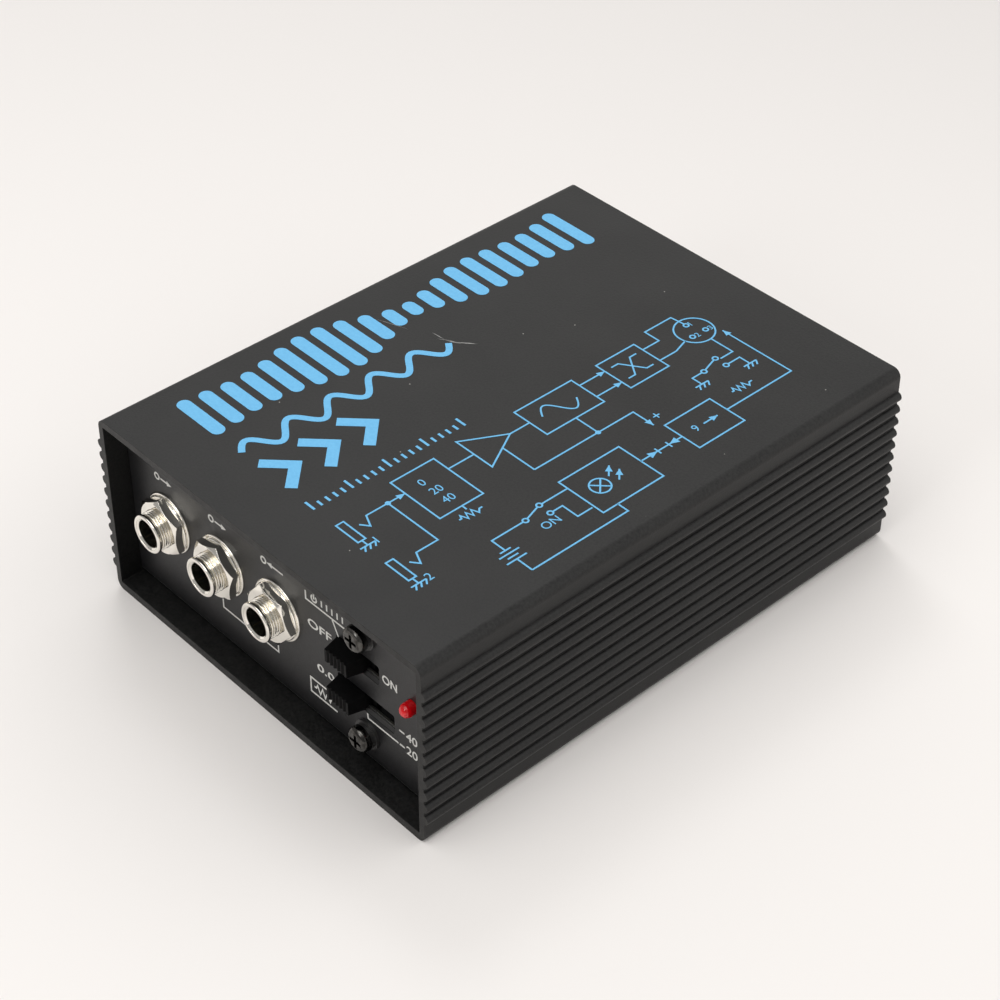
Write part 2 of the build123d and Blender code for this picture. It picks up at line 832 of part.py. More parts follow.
def resistor(x, y):
    axis_z = board_top + 1.4
    body = rod_x(1.15, x - 3.1, x + 3.1, y, axis_z)
    body += rod_x(0.3, x - resistor_half, x + resistor_half, y, axis_z)
    for side in (-1, 1):
        body += rod_z(0.3, board_top, axis_z, x + side * 4.8, y)
    return body


def transistor(x, y):
    can = rod_z(2.3, board_top + 2.5, board_top + 7.2, x, y)
    can -= block(x - 3, x + 3, y + 1.3, y + 3, board_top, board_top + 9)
    for n in (-1, 0, 1):
        can += rod_z(0.25, board_top, board_top + 2.6, x + n * 1.27, y)
    return can


rear_chip_x = -spacer_side + board_head_radius + part_gap + chip_half


def chip_places():
    return [(2.0, -26.0), (-16.0, -26.0), (rear_chip_x, -behind_switches)]


def film_capacitor_places():
    left = -inner_half + film_inset
    return [(left, 10.0 + n * 4.5) for n in range(2)] + [(18.0 + n * 9.0, -9.0) for n in range(2)]


def resistor_places():
    beside_chip = rear_chip_x + chip_half + part_gap + resistor_half
    columns = [
        (-8.0, -18.5, 4),
        (inner_half - resistor_inset, -27.0, 4),
        (1.0, 35.5, 4),
        (beside_chip, -behind_switches - rear_resistor_inset, 2),
    ]
    return [(x, y + resistor_pitch * n) for x, y, count in columns for n in range(count)]


def transistor_places():
    return [(16.0 + 7.0 * n, -32.0) for n in range(3)]


def ribbon_cable(x):
    # A flat cable from the back of a switch board down to the main board
    start = switch_board_back
    outline = [(start, module_z), (start + cable_reach, module_z), (start + cable_reach, board_top)]
    strip = trace(FilletPolyline(*outline, radius=cable_bend), cable_thickness)
    face = Plane((x - cable_width / 2, 0, 0), x_dir=(0, 1, 0), z_dir=(1, 0, 0)) * strip
    return extrude(face, cable_width, dir=(1, 0, 0))


# XLR output socket

def xlr_shell():
    front = panel_face - xlr_flange_thickness
    shell = bar_y(xlr_flange_width, xlr_flange_height, xlr_flange_corner, front, panel_face, xlr_x, xlr_z)
    shell += rod_y(xlr_barrel, panel_face, front + xlr_depth, xlr_x, xlr_z)
    shell -= rod_y(xlr_bore, front - 1, front + xlr_depth + 1, xlr_x, xlr_z)
    for x, z in xlr_screw_places():
        shell -= rod_y(floor_screw_radius + screw_fit, front - 1, panel_face + 1, x, z)
    return shell


def xlr_pin_places():
    r = xlr_pin_circle
    return [(xlr_x + r * cos(radians(a)), xlr_z + r * sin(radians(a))) for a in (0, 180, 270)]


def xlr_insert():
    front = panel_face - xlr_flange_thickness
    insert = rod_y(xlr_bore, front + xlr_cup, front + xlr_depth, xlr_x, xlr_z)
    for x, z in xlr_pin_places():
        insert -= rod_y(xlr_pin, front + xlr_cup - 1, front + xlr_depth + 1, x, z)
    return turned(insert)


def xlr_pins():
    front = panel_face - xlr_flange_thickness
    back = front + xlr_depth
    pins = []
    for n, (x, z) in enumerate(xlr_pin_places()):
        tip = front + xlr_cup - xlr_pin_length
        pin = rod_y(xlr_pin, tip + xlr_pin, back, x, z) + Pos(x, tip + xlr_pin, z) * Sphere(xlr_pin)
        tail_y = back + xlr_tail_reach + 1.5 * n
        bend = FilletPolyline((x, back, z), (x, tail_y, z), (x, tail_y, board_top), radius=xlr_tail_bend)
        pin += sweep(end_plane(x, back, z) * Circle(xlr_tail), bend)
        pins.append(turned(pin))
    return pins


def xlr_screws():
    screws = []
    front = panel_face - xlr_flange_thickness
    for x, z in xlr_screw_places():
        head, recess = pan_head_y(x, z, front)
        screw = head + rod_y(floor_screw_radius, front, panel_back + nut_height + 0.8, x, z) - recess
        screws.append(turned(screw))
    return screws


def xlr_nuts():
    nuts = []
    for x, z in xlr_screw_places():
        nut = hexagon_y(nut_flats, panel_back, panel_back + nut_height, x, z)
        nut -= rod_y(floor_screw_radius + screw_fit / 2, panel_back - 1, panel_back + nut_height + 1, x, z)
        nuts.append(turned(nut))
    return nuts


# Battery, case and door

def case_screw_places():
    reach = case_wall + case_flange / 2 + battery_side_gap
    return [(case_left - reach, battery_y), (case_right + reach, battery_y)]


def battery_case():
    wall = case_wall
    body = block(
        case_left - wall, case_right + wall, opening_front - wall, hinge_end + wall,
        floor_wall, case_ceiling + wall
    )
    body += block(
        case_left - case_rim, case_right + case_rim, opening_front - wall, hinge_end + wall,
        chassis_top, chassis_top + case_flange_thickness,
    )
    body -= block(case_left, case_right, opening_front, opening_back, 0, case_ceiling)
    bay_left = battery_x - hinge_half
    bay_right = battery_x + hinge_half
    bay_top = hinge_z + knuckle_radius + hinge_side_gap
    body -= block(bay_left, bay_right, opening_back - 1, hinge_end, 0, bay_top)
    for side in (-1, 1):
        lug_x = battery_x + side * (knuckle_length / 2 + hinge_side_gap + lug_width / 2)
        lug_from = lug_x - lug_width / 2
        lug_to = lug_x + lug_width / 2
        body += rod_x(knuckle_radius, lug_from, lug_to, hinge_y, hinge_z)
        body += block(
            lug_from, lug_to, hinge_y - knuckle_radius, hinge_y + knuckle_radius, hinge_z, bay_top + 0.5
        )
    body -= rod_x(hinge_pin, bay_left - 1, bay_right + 1, hinge_y, hinge_z)
    lead_hole = lead_spacing / 2 + 2 * lead_radius
    body -= block(
        case_left - wall - 1, case_left + 1, battery_y - lead_hole, battery_y + lead_hole,
        lead_z() - 1.5, lead_z() + 1.5
    )
    for x, y in case_screw_places():
        flange_top = chassis_top + case_flange_thickness
        body -= rod_z(floor_screw_radius + screw_fit, chassis_top - 1, flange_top + 1, x, y)
    return body


def case_screws():
    screws = []
    seat = chassis_top + case_flange_thickness
    for x, y in case_screw_places():
        head = Pos(x, y, seat + 0.9) * Cylinder(board_head_radius, 1.8)
        rim = head.edges().filter_by(GeomType.CIRCLE).sort_by(Axis.Z)[-1]
        screw = fillet(rim, 1.0) + rod_z(floor_screw_radius, chassis_z - 0.8, seat, x, y)
        screws.append(screw - cross_recess_z(x, y, seat + 1.8))
    return screws


def battery_door():
    plate_top = door_recess + door_thickness
    door = block(
        case_left + door_gap, case_right - door_gap, opening_front + door_gap, opening_back - door_gap,
        door_recess, plate_top,
    )
    # Scooped about the hinge line, so that it swings past the edge of the casing
    swing = hypot(hinge_y - opening_back, hinge_z) + door_gap
    door -= rod_x(swing, case_left, case_right, hinge_y, hinge_z)
    half = knuckle_length / 2
    door += block(battery_x - half, battery_x + half, hinge_y - swing - 1, hinge_y, door_recess, plate_top)
    door += rod_x(knuckle_radius, battery_x - half, battery_x + half, hinge_y, hinge_z)
    rib_top = battery_z - door_rib_gap
    for share in (-0.3, 0.3):
        rib_x = battery_x + share * battery_length
        door += block(
            rib_x - door_rib, rib_x + door_rib, opening_front + 3.0, opening_back - 4.0, plate_top, rib_top
        )
    # A finger groove for opening it
    for n in range(3):
        groove_y = opening_front + 4.0 + 2.0 * n
        door -= block(battery_x - 7, battery_x + 7, groove_y - 0.5, groove_y + 0.5, 0, door_recess + 0.5)
    return door - rod_x(hinge_pin + hinge_fit, battery_x - half - 1, battery_x + half + 1, hinge_y, hinge_z)


def door_pin():
    return rod_x(
        hinge_pin, battery_x - hinge_half + hinge_side_gap, battery_x + hinge_half - hinge_side_gap,
        hinge_y, hinge_z
    )


def battery():
    half = battery_width / 2
    cell = block(
        battery_left, battery_right, battery_y - half, battery_y + half,
        battery_z, battery_z + battery_thickness
    )
    return fillet(cell.edges().filter_by(Axis.X), 2.0)


def battery_snap():
    half = snap_width / 2
    middle = battery_z + battery_thickness / 2
    snap = block(
        battery_left - snap_length, battery_left, battery_y - half, battery_y + half,
        middle - snap_height / 2, middle + snap_height / 2,
    )
    return fillet(snap.edges().filter_by(Axis.X), 3.0)


def battery_pad():
    half = battery_width / 2
    return block(
        battery_left + 3, battery_right - 3, battery_y - half + 2, battery_y + half - 2,
        case_ceiling - pad_thickness, case_ceiling,
    )


def lead_z():
    return battery_z + battery_thickness / 2 + lead_rise


def battery_lead(side):
    y = battery_y + side * lead_spacing / 2
    start = battery_left - snap_length
    landing = start - lead_reach
    outline = [(start, y, lead_z()), (landing, y, lead_z()), (landing, y, board_top)]
    path = FilletPolyline(*outline, radius=lead_bend)
    return sweep(Plane((start, y, lead_z()), z_dir=(-1, 0, 0)) * Circle(lead_radius), path)


write("casing", casing())
write("front_panel", front_panel())
write("rear_panel", rear_panel())
write("chassis_plate", chassis_plate())
write("casing_screws", *casing_screws())
write("pressed_nuts", *pressed_nuts())

jack_names = ["output_jack", "link_jack", "input_jack"]
for name, x in zip(jack_names, jack_xs):
    write(f"{name}_bushing", jack_bushing(x))
    write(f"{name}_housing", jack_housing(x))
write("jack_washers", *[jack_washer_ring(x) for x in jack_xs])
write("jack_lock_washers", *[jack_lock_washer_ring(x) for x in jack_xs])
write("jack_nuts", *[jack_nut(x, turn) for x, turn in zip(jack_xs, jack_nut_turns)])
write("jack_tip_springs", *[jack_tip_spring(x) for x in jack_xs])
write("jack_sleeve_springs", *[jack_sleeve_spring(x) for x in jack_xs])

write("power_switch_frame", switch_frame(front_knob_x, upper_switch_z, 1))
write("power_switch_base", switch_base(front_knob_x, upper_switch_z, 1))
write("power_knob", switch_knob(front_knob_x, upper_switch_z))
write("pad_switch_frame", switch_frame(front_knob_x, lower_switch_z, 2))
write("pad_switch_base", switch_base(front_knob_x, lower_switch_z, 2))
write("pad_knob", switch_knob(front_knob_x, lower_switch_z))
write("phase_switch_frame", turned(switch_frame(rear_knob_x, upper_switch_z, 1)))
write("phase_switch_base", turned(switch_base(rear_knob_x, upper_switch_z, 1)))
write("phase_knob", turned(switch_knob(rear_knob_x, upper_switch_z)))
write("ground_switch_frame", turned(switch_frame(rear_knob_x, lower_switch_z, 1)))
write("ground_switch_base", turned(switch_base(rear_knob_x, lower_switch_z, 1)))
write("ground_knob", turned(switch_knob(rear_knob_x, lower_switch_z)))
write("switch_terminals", *switch_terminals())
write("front_switch_board", front_switch_board())
write("rear_switch_board", rear_switch_board())
write("switch_board_standoffs", *module_pieces(module_standoff))
write("panel_screws", *module_pieces(panel_screw))
write("lock_washers", *module_pieces(panel_flat_washer), *module_pieces(panel_spring_washer))
write("switch_board_screws", *module_pieces(switch_board_screw))
write("power_lamp", lamp())
write("lamp_leads", *[lamp_leg(x) for x in lamp_lead_xs()])

write("main_board", main_board())
write("board_spacers", *[board_spacer(x, y) for x, y in spacer_places()])
write("board_screws", *[board_screw(x, y) for x, y in spacer_places()])
write("electrolytic_capacitors", *electrolytic_capacitors())
write("op_amp_chips", *[op_amp_chip(x, y) for x, y in chip_places()])
write("film_capacitors", *[film_capacitor(x, y) for x, y in film_capacitor_places()])
write("resistors", *[resistor(x, y) for x, y in resistor_places()])
write("transistors", *[transistor(x, y) for x, y in transistor_places()])
write("ribbon_cables", ribbon_cable(front_module_x), turned(ribbon_cable(rear_module_x)))

write("xlr_shell", turned(xlr_shell()))
write("xlr_insert", xlr_insert())
write("xlr_pins", *xlr_pins())
write("xlr_screws", *xlr_screws())
write("xlr_nuts", *xlr_nuts())

write("battery_case", battery_case())
write("case_screws", *case_screws())
write("battery_door", battery_door())
write("door_pin", door_pin())
write("battery", battery())
write("battery_snap", battery_snap())
write("battery_pad", battery_pad())
write("battery_leads", *[battery_lead(side) for side in (-1, 1)])
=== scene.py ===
from math import cos, pi, radians, sin

import bmesh
import bpy
import numpy as np
from mathutils import Matrix, Vector


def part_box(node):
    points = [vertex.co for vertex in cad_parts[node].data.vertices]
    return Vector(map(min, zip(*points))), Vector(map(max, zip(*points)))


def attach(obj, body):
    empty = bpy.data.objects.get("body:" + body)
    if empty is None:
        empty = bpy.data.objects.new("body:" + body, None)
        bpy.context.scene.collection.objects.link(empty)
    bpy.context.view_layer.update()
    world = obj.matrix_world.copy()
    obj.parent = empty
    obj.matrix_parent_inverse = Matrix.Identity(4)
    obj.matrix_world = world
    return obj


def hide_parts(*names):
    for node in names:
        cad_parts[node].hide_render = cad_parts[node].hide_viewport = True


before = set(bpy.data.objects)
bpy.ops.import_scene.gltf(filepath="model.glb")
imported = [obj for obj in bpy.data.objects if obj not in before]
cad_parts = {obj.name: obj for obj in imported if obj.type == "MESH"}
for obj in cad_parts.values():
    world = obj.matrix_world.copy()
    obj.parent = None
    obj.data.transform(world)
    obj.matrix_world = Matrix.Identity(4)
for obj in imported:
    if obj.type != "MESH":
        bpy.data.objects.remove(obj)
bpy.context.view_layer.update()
print("frame loaded:", len(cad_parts), "nodes")

# Faces and the jacks' height in millimetres, taken from the nodes that the pieces below lie on
mm = 0.001
casingEnd, topFace = np.array(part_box("casing")[1])[1:] / mm
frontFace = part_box("front_panel")[0].y / mm
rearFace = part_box("rear_panel")[1].y / mm
jackHeight = (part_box("input_jack_bushing")[0].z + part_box("input_jack_bushing")[1].z) / 2 / mm


# Camera. Angles are in degrees, lens and sensor in millimetres

viewPoint = {
    "place": (0.28913, -0.26812, 0.34577),
    "azimuth": -47.032,
    "elevation": 37.380,
    "roll": 0.3435,
    "lens": 84.73,
    "sensor": 36,
    "shift": (-0.00934, -0.09904),
}


def addCamera(values):
    # Forward, right and up of a level camera, then turned about its own axis by the roll
    az, el, roll = (radians(values[name]) for name in ("azimuth", "elevation", "roll"))
    forward = Vector((sin(az) * cos(el), cos(az) * cos(el), -sin(el)))
    level = Vector((cos(az), -sin(az), 0))
    upright = level.cross(forward)
    right = cos(roll) * level + sin(roll) * upright
    up = -sin(roll) * level + cos(roll) * upright
    data = bpy.data.cameras.new("camera")
    data.sensor_width = values["sensor"]
    data.lens = values["lens"]
    data.shift_x, data.shift_y = values["shift"]
    camera = bpy.data.objects.new("camera", data)
    bpy.context.scene.collection.objects.link(camera)
    turn = Matrix((right, up, -forward)).transposed().to_4x4()
    camera.matrix_world = Matrix.Translation(values["place"]) @ turn
    bpy.context.scene.camera = camera


addCamera(viewPoint)


# Shader node helpers

def addMath(tree, operation, first, second=None):
    node = tree.nodes.new("ShaderNodeMath")
    node.operation = operation
    for socket, value in zip(node.inputs, (first, second)):
        if isinstance(value, (int, float)):
            socket.default_value = value
        elif value is not None:
            tree.links.new(value, socket)
    return node.outputs["Value"]


def addNoise(tree, vector, scale, detail=2.0, rough=0.5):
    noise = tree.nodes.new("ShaderNodeTexNoise")
    noise.inputs["Scale"].default_value = scale
    noise.inputs["Detail"].default_value = detail
    noise.inputs["Roughness"].default_value = rough
    tree.links.new(vector, noise.inputs["Vector"])
    return noise.outputs["Fac"]


def addRange(tree, value, fromLow, fromHigh, toLow, toHigh):
    node = tree.nodes.new("ShaderNodeMapRange")
    limits = {"From Min": fromLow, "From Max": fromHigh, "To Min": toLow, "To Max": toHigh}
    for name, number in limits.items():
        node.inputs[name].default_value = number
    tree.links.new(value, node.inputs["Value"])
    return node.outputs["Result"]


def addMix(tree, factor, first, second):
    node = tree.nodes.new("ShaderNodeMix")
    node.data_type = "RGBA"
    tree.links.new(factor, node.inputs["Factor"])
    for socket, value in zip((node.inputs["A"], node.inputs["B"]), (first, second)):
        if isinstance(value, tuple):
            socket.default_value = (*value, 1)
        else:
            tree.links.new(value, socket)
    return node.outputs["Result"]


def placeVector(tree, stretch=(1, 1, 1)):
    place = tree.nodes.new("ShaderNodeTexCoord")
    mapping = tree.nodes.new("ShaderNodeMapping")
    mapping.inputs["Scale"].default_value = stretch
    tree.links.new(place.outputs["Object"], mapping.inputs["Vector"])
    return mapping.outputs["Vector"]


# Studio: a pale floor, a soft sky that is brightest overhead, and two softboxes

studio = {
    "floorColour": (0.816, 0.793, 0.778),
    # The far colour is painted shade: the floor darkens one way as the light falls off
    "floorShadeFar": (0.682, 0.662, 0.651),
    "floorRoughness": 0.9,
    "floorGloss": 0.1,
    "fadeTowards": (-0.59, 0.81, 0),
    "fadeFrom": 0.02,
    "fadeTo": 0.30,
    "floorHalf": 4.0,
    "floorDrop": 0.00005,
    "skyColour": (1.0, 0.985, 0.965),
    "skyLevel": 0.29,
    "skySeen": 0.36,
    "skyPatches": [
        {"towards": (0.0, -0.29, 0.96), "from": 0.78, "to": 1.0, "level": 2.25},
        {"towards": (-0.50, 0.68, 0.46), "from": 0.68, "to": 1.0, "level": 0.80},
        {"towards": (0.66, 0.50, 0.42), "from": 0.50, "to": 1.0, "level": 1.05},
    ],
    "boxes": [
        {"place": (-0.55, 0.30, 0.95), "aim": (0, 0, 0.02), "size": 0.28, "power": 1.4},
        {"place": (0.08, -0.85, 0.58), "aim": (0, 0, 0.02), "size": 0.30, "power": 1.2},
    ],
}


def addFloor(values):
    # A hair below the casing, so that the two faces don't coincide, and darker with distance one way:
    # painted shade, standing in for the light falling off across the floor
    half, low = values["floorHalf"], -values["floorDrop"]
    mesh = bpy.data.meshes.new("floor")
    corners = [(-half, -half, low), (half, -half, low), (half, half, low), (-half, half, low)]
    mesh.from_pydata(corners, [], [(0, 1, 2, 3)])
    floor = bpy.data.objects.new("floor", mesh)
    bpy.context.scene.collection.objects.link(floor)
    paper = bpy.data.materials.new("palePaper")
    paper.use_nodes = True
    tree = paper.node_tree
    shader = tree.nodes["Principled BSDF"]
    shader.inputs["Roughness"].default_value = values["floorRoughness"]
    shader.inputs["Specular IOR Level"].default_value = values["floorGloss"]
    away = tree.nodes.new("ShaderNodeVectorMath")
    away.operation = "DOT_PRODUCT"
    away.inputs[1].default_value = values["fadeTowards"]
    tree.links.new(placeVector(tree), away.inputs[0])
    fade = addRange(tree, away.outputs["Value"], values["fadeFrom"], values["fadeTo"], 0, 1)
    colour = addMix(tree, fade, values["floorColour"], values["floorShadeFar"])
    tree.links.new(colour, shader.inputs["Base Color"])
    mesh.materials.append(paper)


def addSky(values):
    # One level plus patches, each of which rises smoothly with the cosine between a direction and
    # its middle. The camera, metal and glass see a level a little paler than the one that lights,
    # and the camera sees no patches
    world = bpy.data.worlds.new("softSky")
    bpy.context.scene.world = world
    world.use_nodes = True
    tree = world.node_tree
    nodes, links = tree.nodes, tree.links
    nodes.clear()
    direction = nodes.new("ShaderNodeTexCoord")
    path = nodes.new("ShaderNodeLightPath")
    shown = addMath(tree, "ADD", path.outputs["Is Camera Ray"], path.outputs["Is Glossy Ray"])
    shown = addMath(tree, "ADD", shown, path.outputs["Is Transmission Ray"])
    total = addRange(tree, shown, 0, 1, values["skyLevel"], values["skySeen"])
    offCamera = addMath(tree, "SUBTRACT", 1.0, path.outputs["Is Camera Ray"])
    for patch in values["skyPatches"]:
        towards = nodes.new("ShaderNodeVectorMath")
        towards.operation = "DOT_PRODUCT"
        towards.inputs[1].default_value = Vector(patch["towards"]).normalized()
        links.new(direction.outputs["Generated"], towards.inputs[0])
        rise = nodes.new("ShaderNodeMapRange")
        rise.interpolation_type = "SMOOTHSTEP"
        rise.inputs["From Min"].default_value = patch["from"]
        rise.inputs["From Max"].default_value = patch["to"]
        rise.inputs["To Max"].default_value = patch["level"]
        links.new(towards.outputs["Value"], rise.inputs["Value"])
        glow = addMath(tree, "MULTIPLY", rise.outputs["Result"], offCamera)
        total = addMath(tree, "ADD", glow, total)
    light = nodes.new("ShaderNodeBackground")
    light.inputs["Color"].default_value = (*values["skyColour"], 1)
    links.new(total, light.inputs["Strength"])
    output = nodes.new("ShaderNodeOutputWorld")
    links.new(light.outputs["Background"], output.inputs["Surface"])


def addSoftbox(number, values):
    # A square lamp turned towards a point
    data = bpy.data.lights.new(f"softbox{number}", "AREA")
    data.shape = "SQUARE"
    data.size = values["size"]
    data.energy = values["power"]
    lamp = bpy.data.objects.new(f"softbox{number}", data)
    bpy.context.scene.collection.objects.link(lamp)
    place = Vector(values["place"])
    turn = (Vector(values["aim"]) - place).to_track_quat("-Z", "Y").to_matrix().to_4x4()
    lamp.matrix_world = Matrix.Translation(place) @ turn


addFloor(studio)
addSky(studio)
for number, values in enumerate(studio["boxes"]):
    addSoftbox(number, values)
bpy.context.scene.view_settings.view_transform = "Standard"
print("camera, floor and light made")


# Materials. A look holds a colour and a second one that a noise mixes in, grain in patches per
# metre, a low and a high roughness, a bump height and, on some, the radius of rounded edges

grainNoise = {
    "blend": (0.35, 0.65), "fine": 6, "fineDetail": 4.0, "fineRough": 0.6, "rough": (0.3, 0.7),
    "edgeSamples": 6,
}


def startMaterial(name, look):
    material = bpy.data.materials.new(name)
    material.use_nodes = True
    shader = material.node_tree.nodes["Principled BSDF"]
    shader.inputs["Metallic"].default_value = look.get("metal", 0.0)
    shader.inputs["Specular IOR Level"].default_value = look.get("gloss", 0.5)
    shader.inputs["Coat Weight"].default_value = look.get("coat", 0.0)
    shader.inputs["Coat Roughness"].default_value = look.get("coatRoughness", 0.1)
    return material, shader


def addMottle(tree, vector, look):
    # The two colours mixed by a broad noise, and a finer noise for the grain
    broad = addNoise(tree, vector, look["grain"])
    fineScale = look["grain"] * grainNoise["fine"]
    fine = addNoise(tree, vector, fineScale, grainNoise["fineDetail"], grainNoise["fineRough"])
    blend = addRange(tree, broad, *grainNoise["blend"], 0, 1)
    return addMix(tree, blend, look["colour"], look["second"]), fine


def addGrain(tree, shader, grain, look):
    # Roughness and a fine relief from one noise and, where the look has an edge, rounded edges
    rough = addRange(tree, grain, *grainNoise["rough"], *look["roughness"])
    tree.links.new(rough, shader.inputs["Roughness"])
    bump = tree.nodes.new("ShaderNodeBump")
    bump.inputs["Distance"].default_value = look["bump"]
    tree.links.new(grain, bump.inputs["Height"])
    if "edge" in look:
        rounded = tree.nodes.new("ShaderNodeBevel")
        rounded.samples = grainNoise["edgeSamples"]
        rounded.inputs["Radius"].default_value = look["edge"]
        tree.links.new(rounded.outputs["Normal"], bump.inputs["Normal"])
    tree.links.new(bump.outputs["Normal"], shader.inputs["Normal"])


def surface(name, look):
    # Two colours in broad patches, with a finer grain in roughness and relief
    material, shader = startMaterial(name, look)
    tree = material.node_tree
    colour, fine = addMottle(tree, placeVector(tree, look.get("stretch", (1, 1, 1))), look)
    tree.links.new(colour, shader.inputs["Base Color"])
    addGrain(tree, shader, fine, look)
    return material


looks = {
    "nickel": {
        "colour": (0.93, 0.90, 0.83), "second": (0.84, 0.81, 0.745), "metal": 1.0,
        "grain": 260, "roughness": (0.05, 0.11), "bump": 0.000003, "edge": 0.00016,
    },
    "turnedNickel": {
        "colour": (0.93, 0.90, 0.83), "second": (0.84, 0.81, 0.745), "metal": 1.0,
        "grain": 260, "roughness": (0.08, 0.13), "bump": 0.000002,
    },
    "zincSteel": {
        "colour": (0.58, 0.57, 0.54), "second": (0.47, 0.46, 0.43), "metal": 1.0,
        "grain": 500, "roughness": (0.26, 0.40), "bump": 0.000006,
    },
    "blackSteel": {
        "colour": (0.035, 0.034, 0.033), "second": (0.022, 0.022, 0.022), "gloss": 0.7,
        "grain": 700, "roughness": (0.26, 0.38), "bump": 0.000008,
    },
    "darkNickel": {
        "colour": (0.125, 0.122, 0.115), "second": (0.045, 0.043, 0.040), "metal": 1.0,
        "grain": 900, "roughness": (0.10, 0.24), "bump": 0.000010, "edge": 0.00020,
    },
    "springBrass": {
        "colour": (0.72, 0.55, 0.28), "second": (0.62, 0.46, 0.22), "metal": 1.0,
        "grain": 500, "roughness": (0.22, 0.34), "bump": 0.000004,
    },
    "blackPlastic": {
        "colour": (0.018, 0.018, 0.019), "second": (0.024, 0.024, 0.025), "gloss": 0.45,
        "grain": 800, "roughness": (0.42, 0.56), "bump": 0.000014,
    },
    # Far darker than the other black plastic: painted shade of the recess that the knobs stand in
    "shadedKnobPlastic": {
        "colour": (0.0018, 0.0018, 0.0020), "second": (0.0028, 0.0028, 0.0030), "gloss": 0.10,
        "grain": 900, "roughness": (0.42, 0.55), "bump": 0.000008,
    },
    "redLens": {
        "colour": (0.78, 0.004, 0.009), "second": (0.60, 0.002, 0.006), "gloss": 0.10, "coat": 0.95,
        "coatRoughness": 0.01, "grain": 500, "roughness": (0.10, 0.20), "bump": 0.000002,
    },
    "tinnedWire": {
        "colour": (0.72, 0.72, 0.71), "second": (0.60, 0.60, 0.59), "metal": 1.0,
        "grain": 900, "roughness": (0.24, 0.38), "bump": 0.000004,
    },
    "greenBoard": {
        "colour": (0.018, 0.110, 0.045), "second": (0.028, 0.140, 0.060), "coat": 0.4,
        "grain": 350, "roughness": (0.30, 0.44), "bump": 0.00001,
    },
    "capacitorSleeve": {
        "colour": (0.012, 0.018, 0.050), "second": (0.018, 0.024, 0.062), "coat": 0.5,
        "grain": 300, "roughness": (0.25, 0.38), "bump": 0.00001,
    },
    "chipBlack": {
        "colour": (0.020, 0.020, 0.020), "second": (0.028, 0.028, 0.028),
        "grain": 900, "roughness": (0.50, 0.64), "bump": 0.000014,
    },
    "filmBox": {
        "colour": (0.40, 0.035, 0.025), "second": (0.34, 0.028, 0.020), "coat": 0.4,
        "grain": 400, "roughness": (0.28, 0.40), "bump": 0.00001,
    },
    "resistorBody": {
        "colour": (0.14, 0.30, 0.44), "second": (0.11, 0.25, 0.38), "coat": 0.4,
        "grain": 500, "roughness": (0.30, 0.42), "bump": 0.00001,
    },
    "flatCable": {
        "colour": (0.30, 0.30, 0.31), "second": (0.25, 0.25, 0.26), "stretch": (1, 0.05, 0.05),
        "grain": 800, "roughness": (0.44, 0.56), "bump": 0.00006,
    },
    "blackChrome": {
        "colour": (0.085, 0.085, 0.085), "second": (0.078, 0.078, 0.078), "metal": 1.0,
        "grain": 1500, "roughness": (0.28, 0.36), "bump": 0.000004,
    },
    "goldPlate": {
        "colour": (0.86, 0.62, 0.26), "second": (0.78, 0.55, 0.22), "metal": 1.0,
        "grain": 500, "roughness": (0.14, 0.24), "bump": 0.000003,
    },
    "foam": {
        "colour": (0.055, 0.055, 0.055), "second": (0.035, 0.035, 0.035), "gloss": 0.2,
        "grain": 1800, "roughness": (0.80, 0.95), "bump": 0.0001,
    },
    "leadVinyl": {
        "colour": (0.30, 0.012, 0.010), "second": (0.25, 0.010, 0.009),
        "grain": 500, "roughness": (0.34, 0.46), "bump": 0.000006,
    },
    "printBlue": {
        "colour": (0.125, 0.420, 0.710), "second": (0.145, 0.455, 0.745), "gloss": 0.3,
        "grain": 1500, "roughness": (0.48, 0.62), "bump": 0.00001,
    },
    "printWhite": {
        "colour": (0.76, 0.76, 0.73), "second": (0.66, 0.66, 0.63), "gloss": 0.3,
        "grain": 2200, "roughness": (0.45, 0.60), "bump": 0.00001,
    },
    "scuffGrey": {
        "colour": (0.30, 0.30, 0.29), "second": (0.16, 0.16, 0.16), "gloss": 0.4,
        "grain": 1200, "roughness": (0.50, 0.65), "bump": 0.00001,
    },
}
finishes = {name: surface(name, look) for name, look in looks.items()}


casingLook = {
    "gloss": 0.29,
    "colour": (0.0010, 0.0010, 0.0012),
    "second": (0.0135, 0.0135, 0.0132),
    "grain": 1700,
    "grainDetail": 3.0,
    "grainRough": 0.7,
    "cloud": 60,
    "cloudShare": 0.2,
    "blend": (0.36, 0.64),
    # Lighter colour for the end faces: painted highlight on the end rims together with edge wear
    "wornAndLit": (0.021, 0.021, 0.020),
    "wornAndLitWidth": 0.00035,
    "wornAndLitGrain": 420,
    "wornAndLitFrom": (0.40, 0.74),
    "dust": (0.34, 0.33, 0.31),
    "dustScale": 260,
    "dustSize": 0.045,
    "dustArea": 45,
    "dustFrom": (0.56, 0.60),
    "dustDepth": (0.0001, 0.0002),
    "roughness": (0.38, 0.54),
    "bump": 0.000036,
    "edge": 0.00012,
}


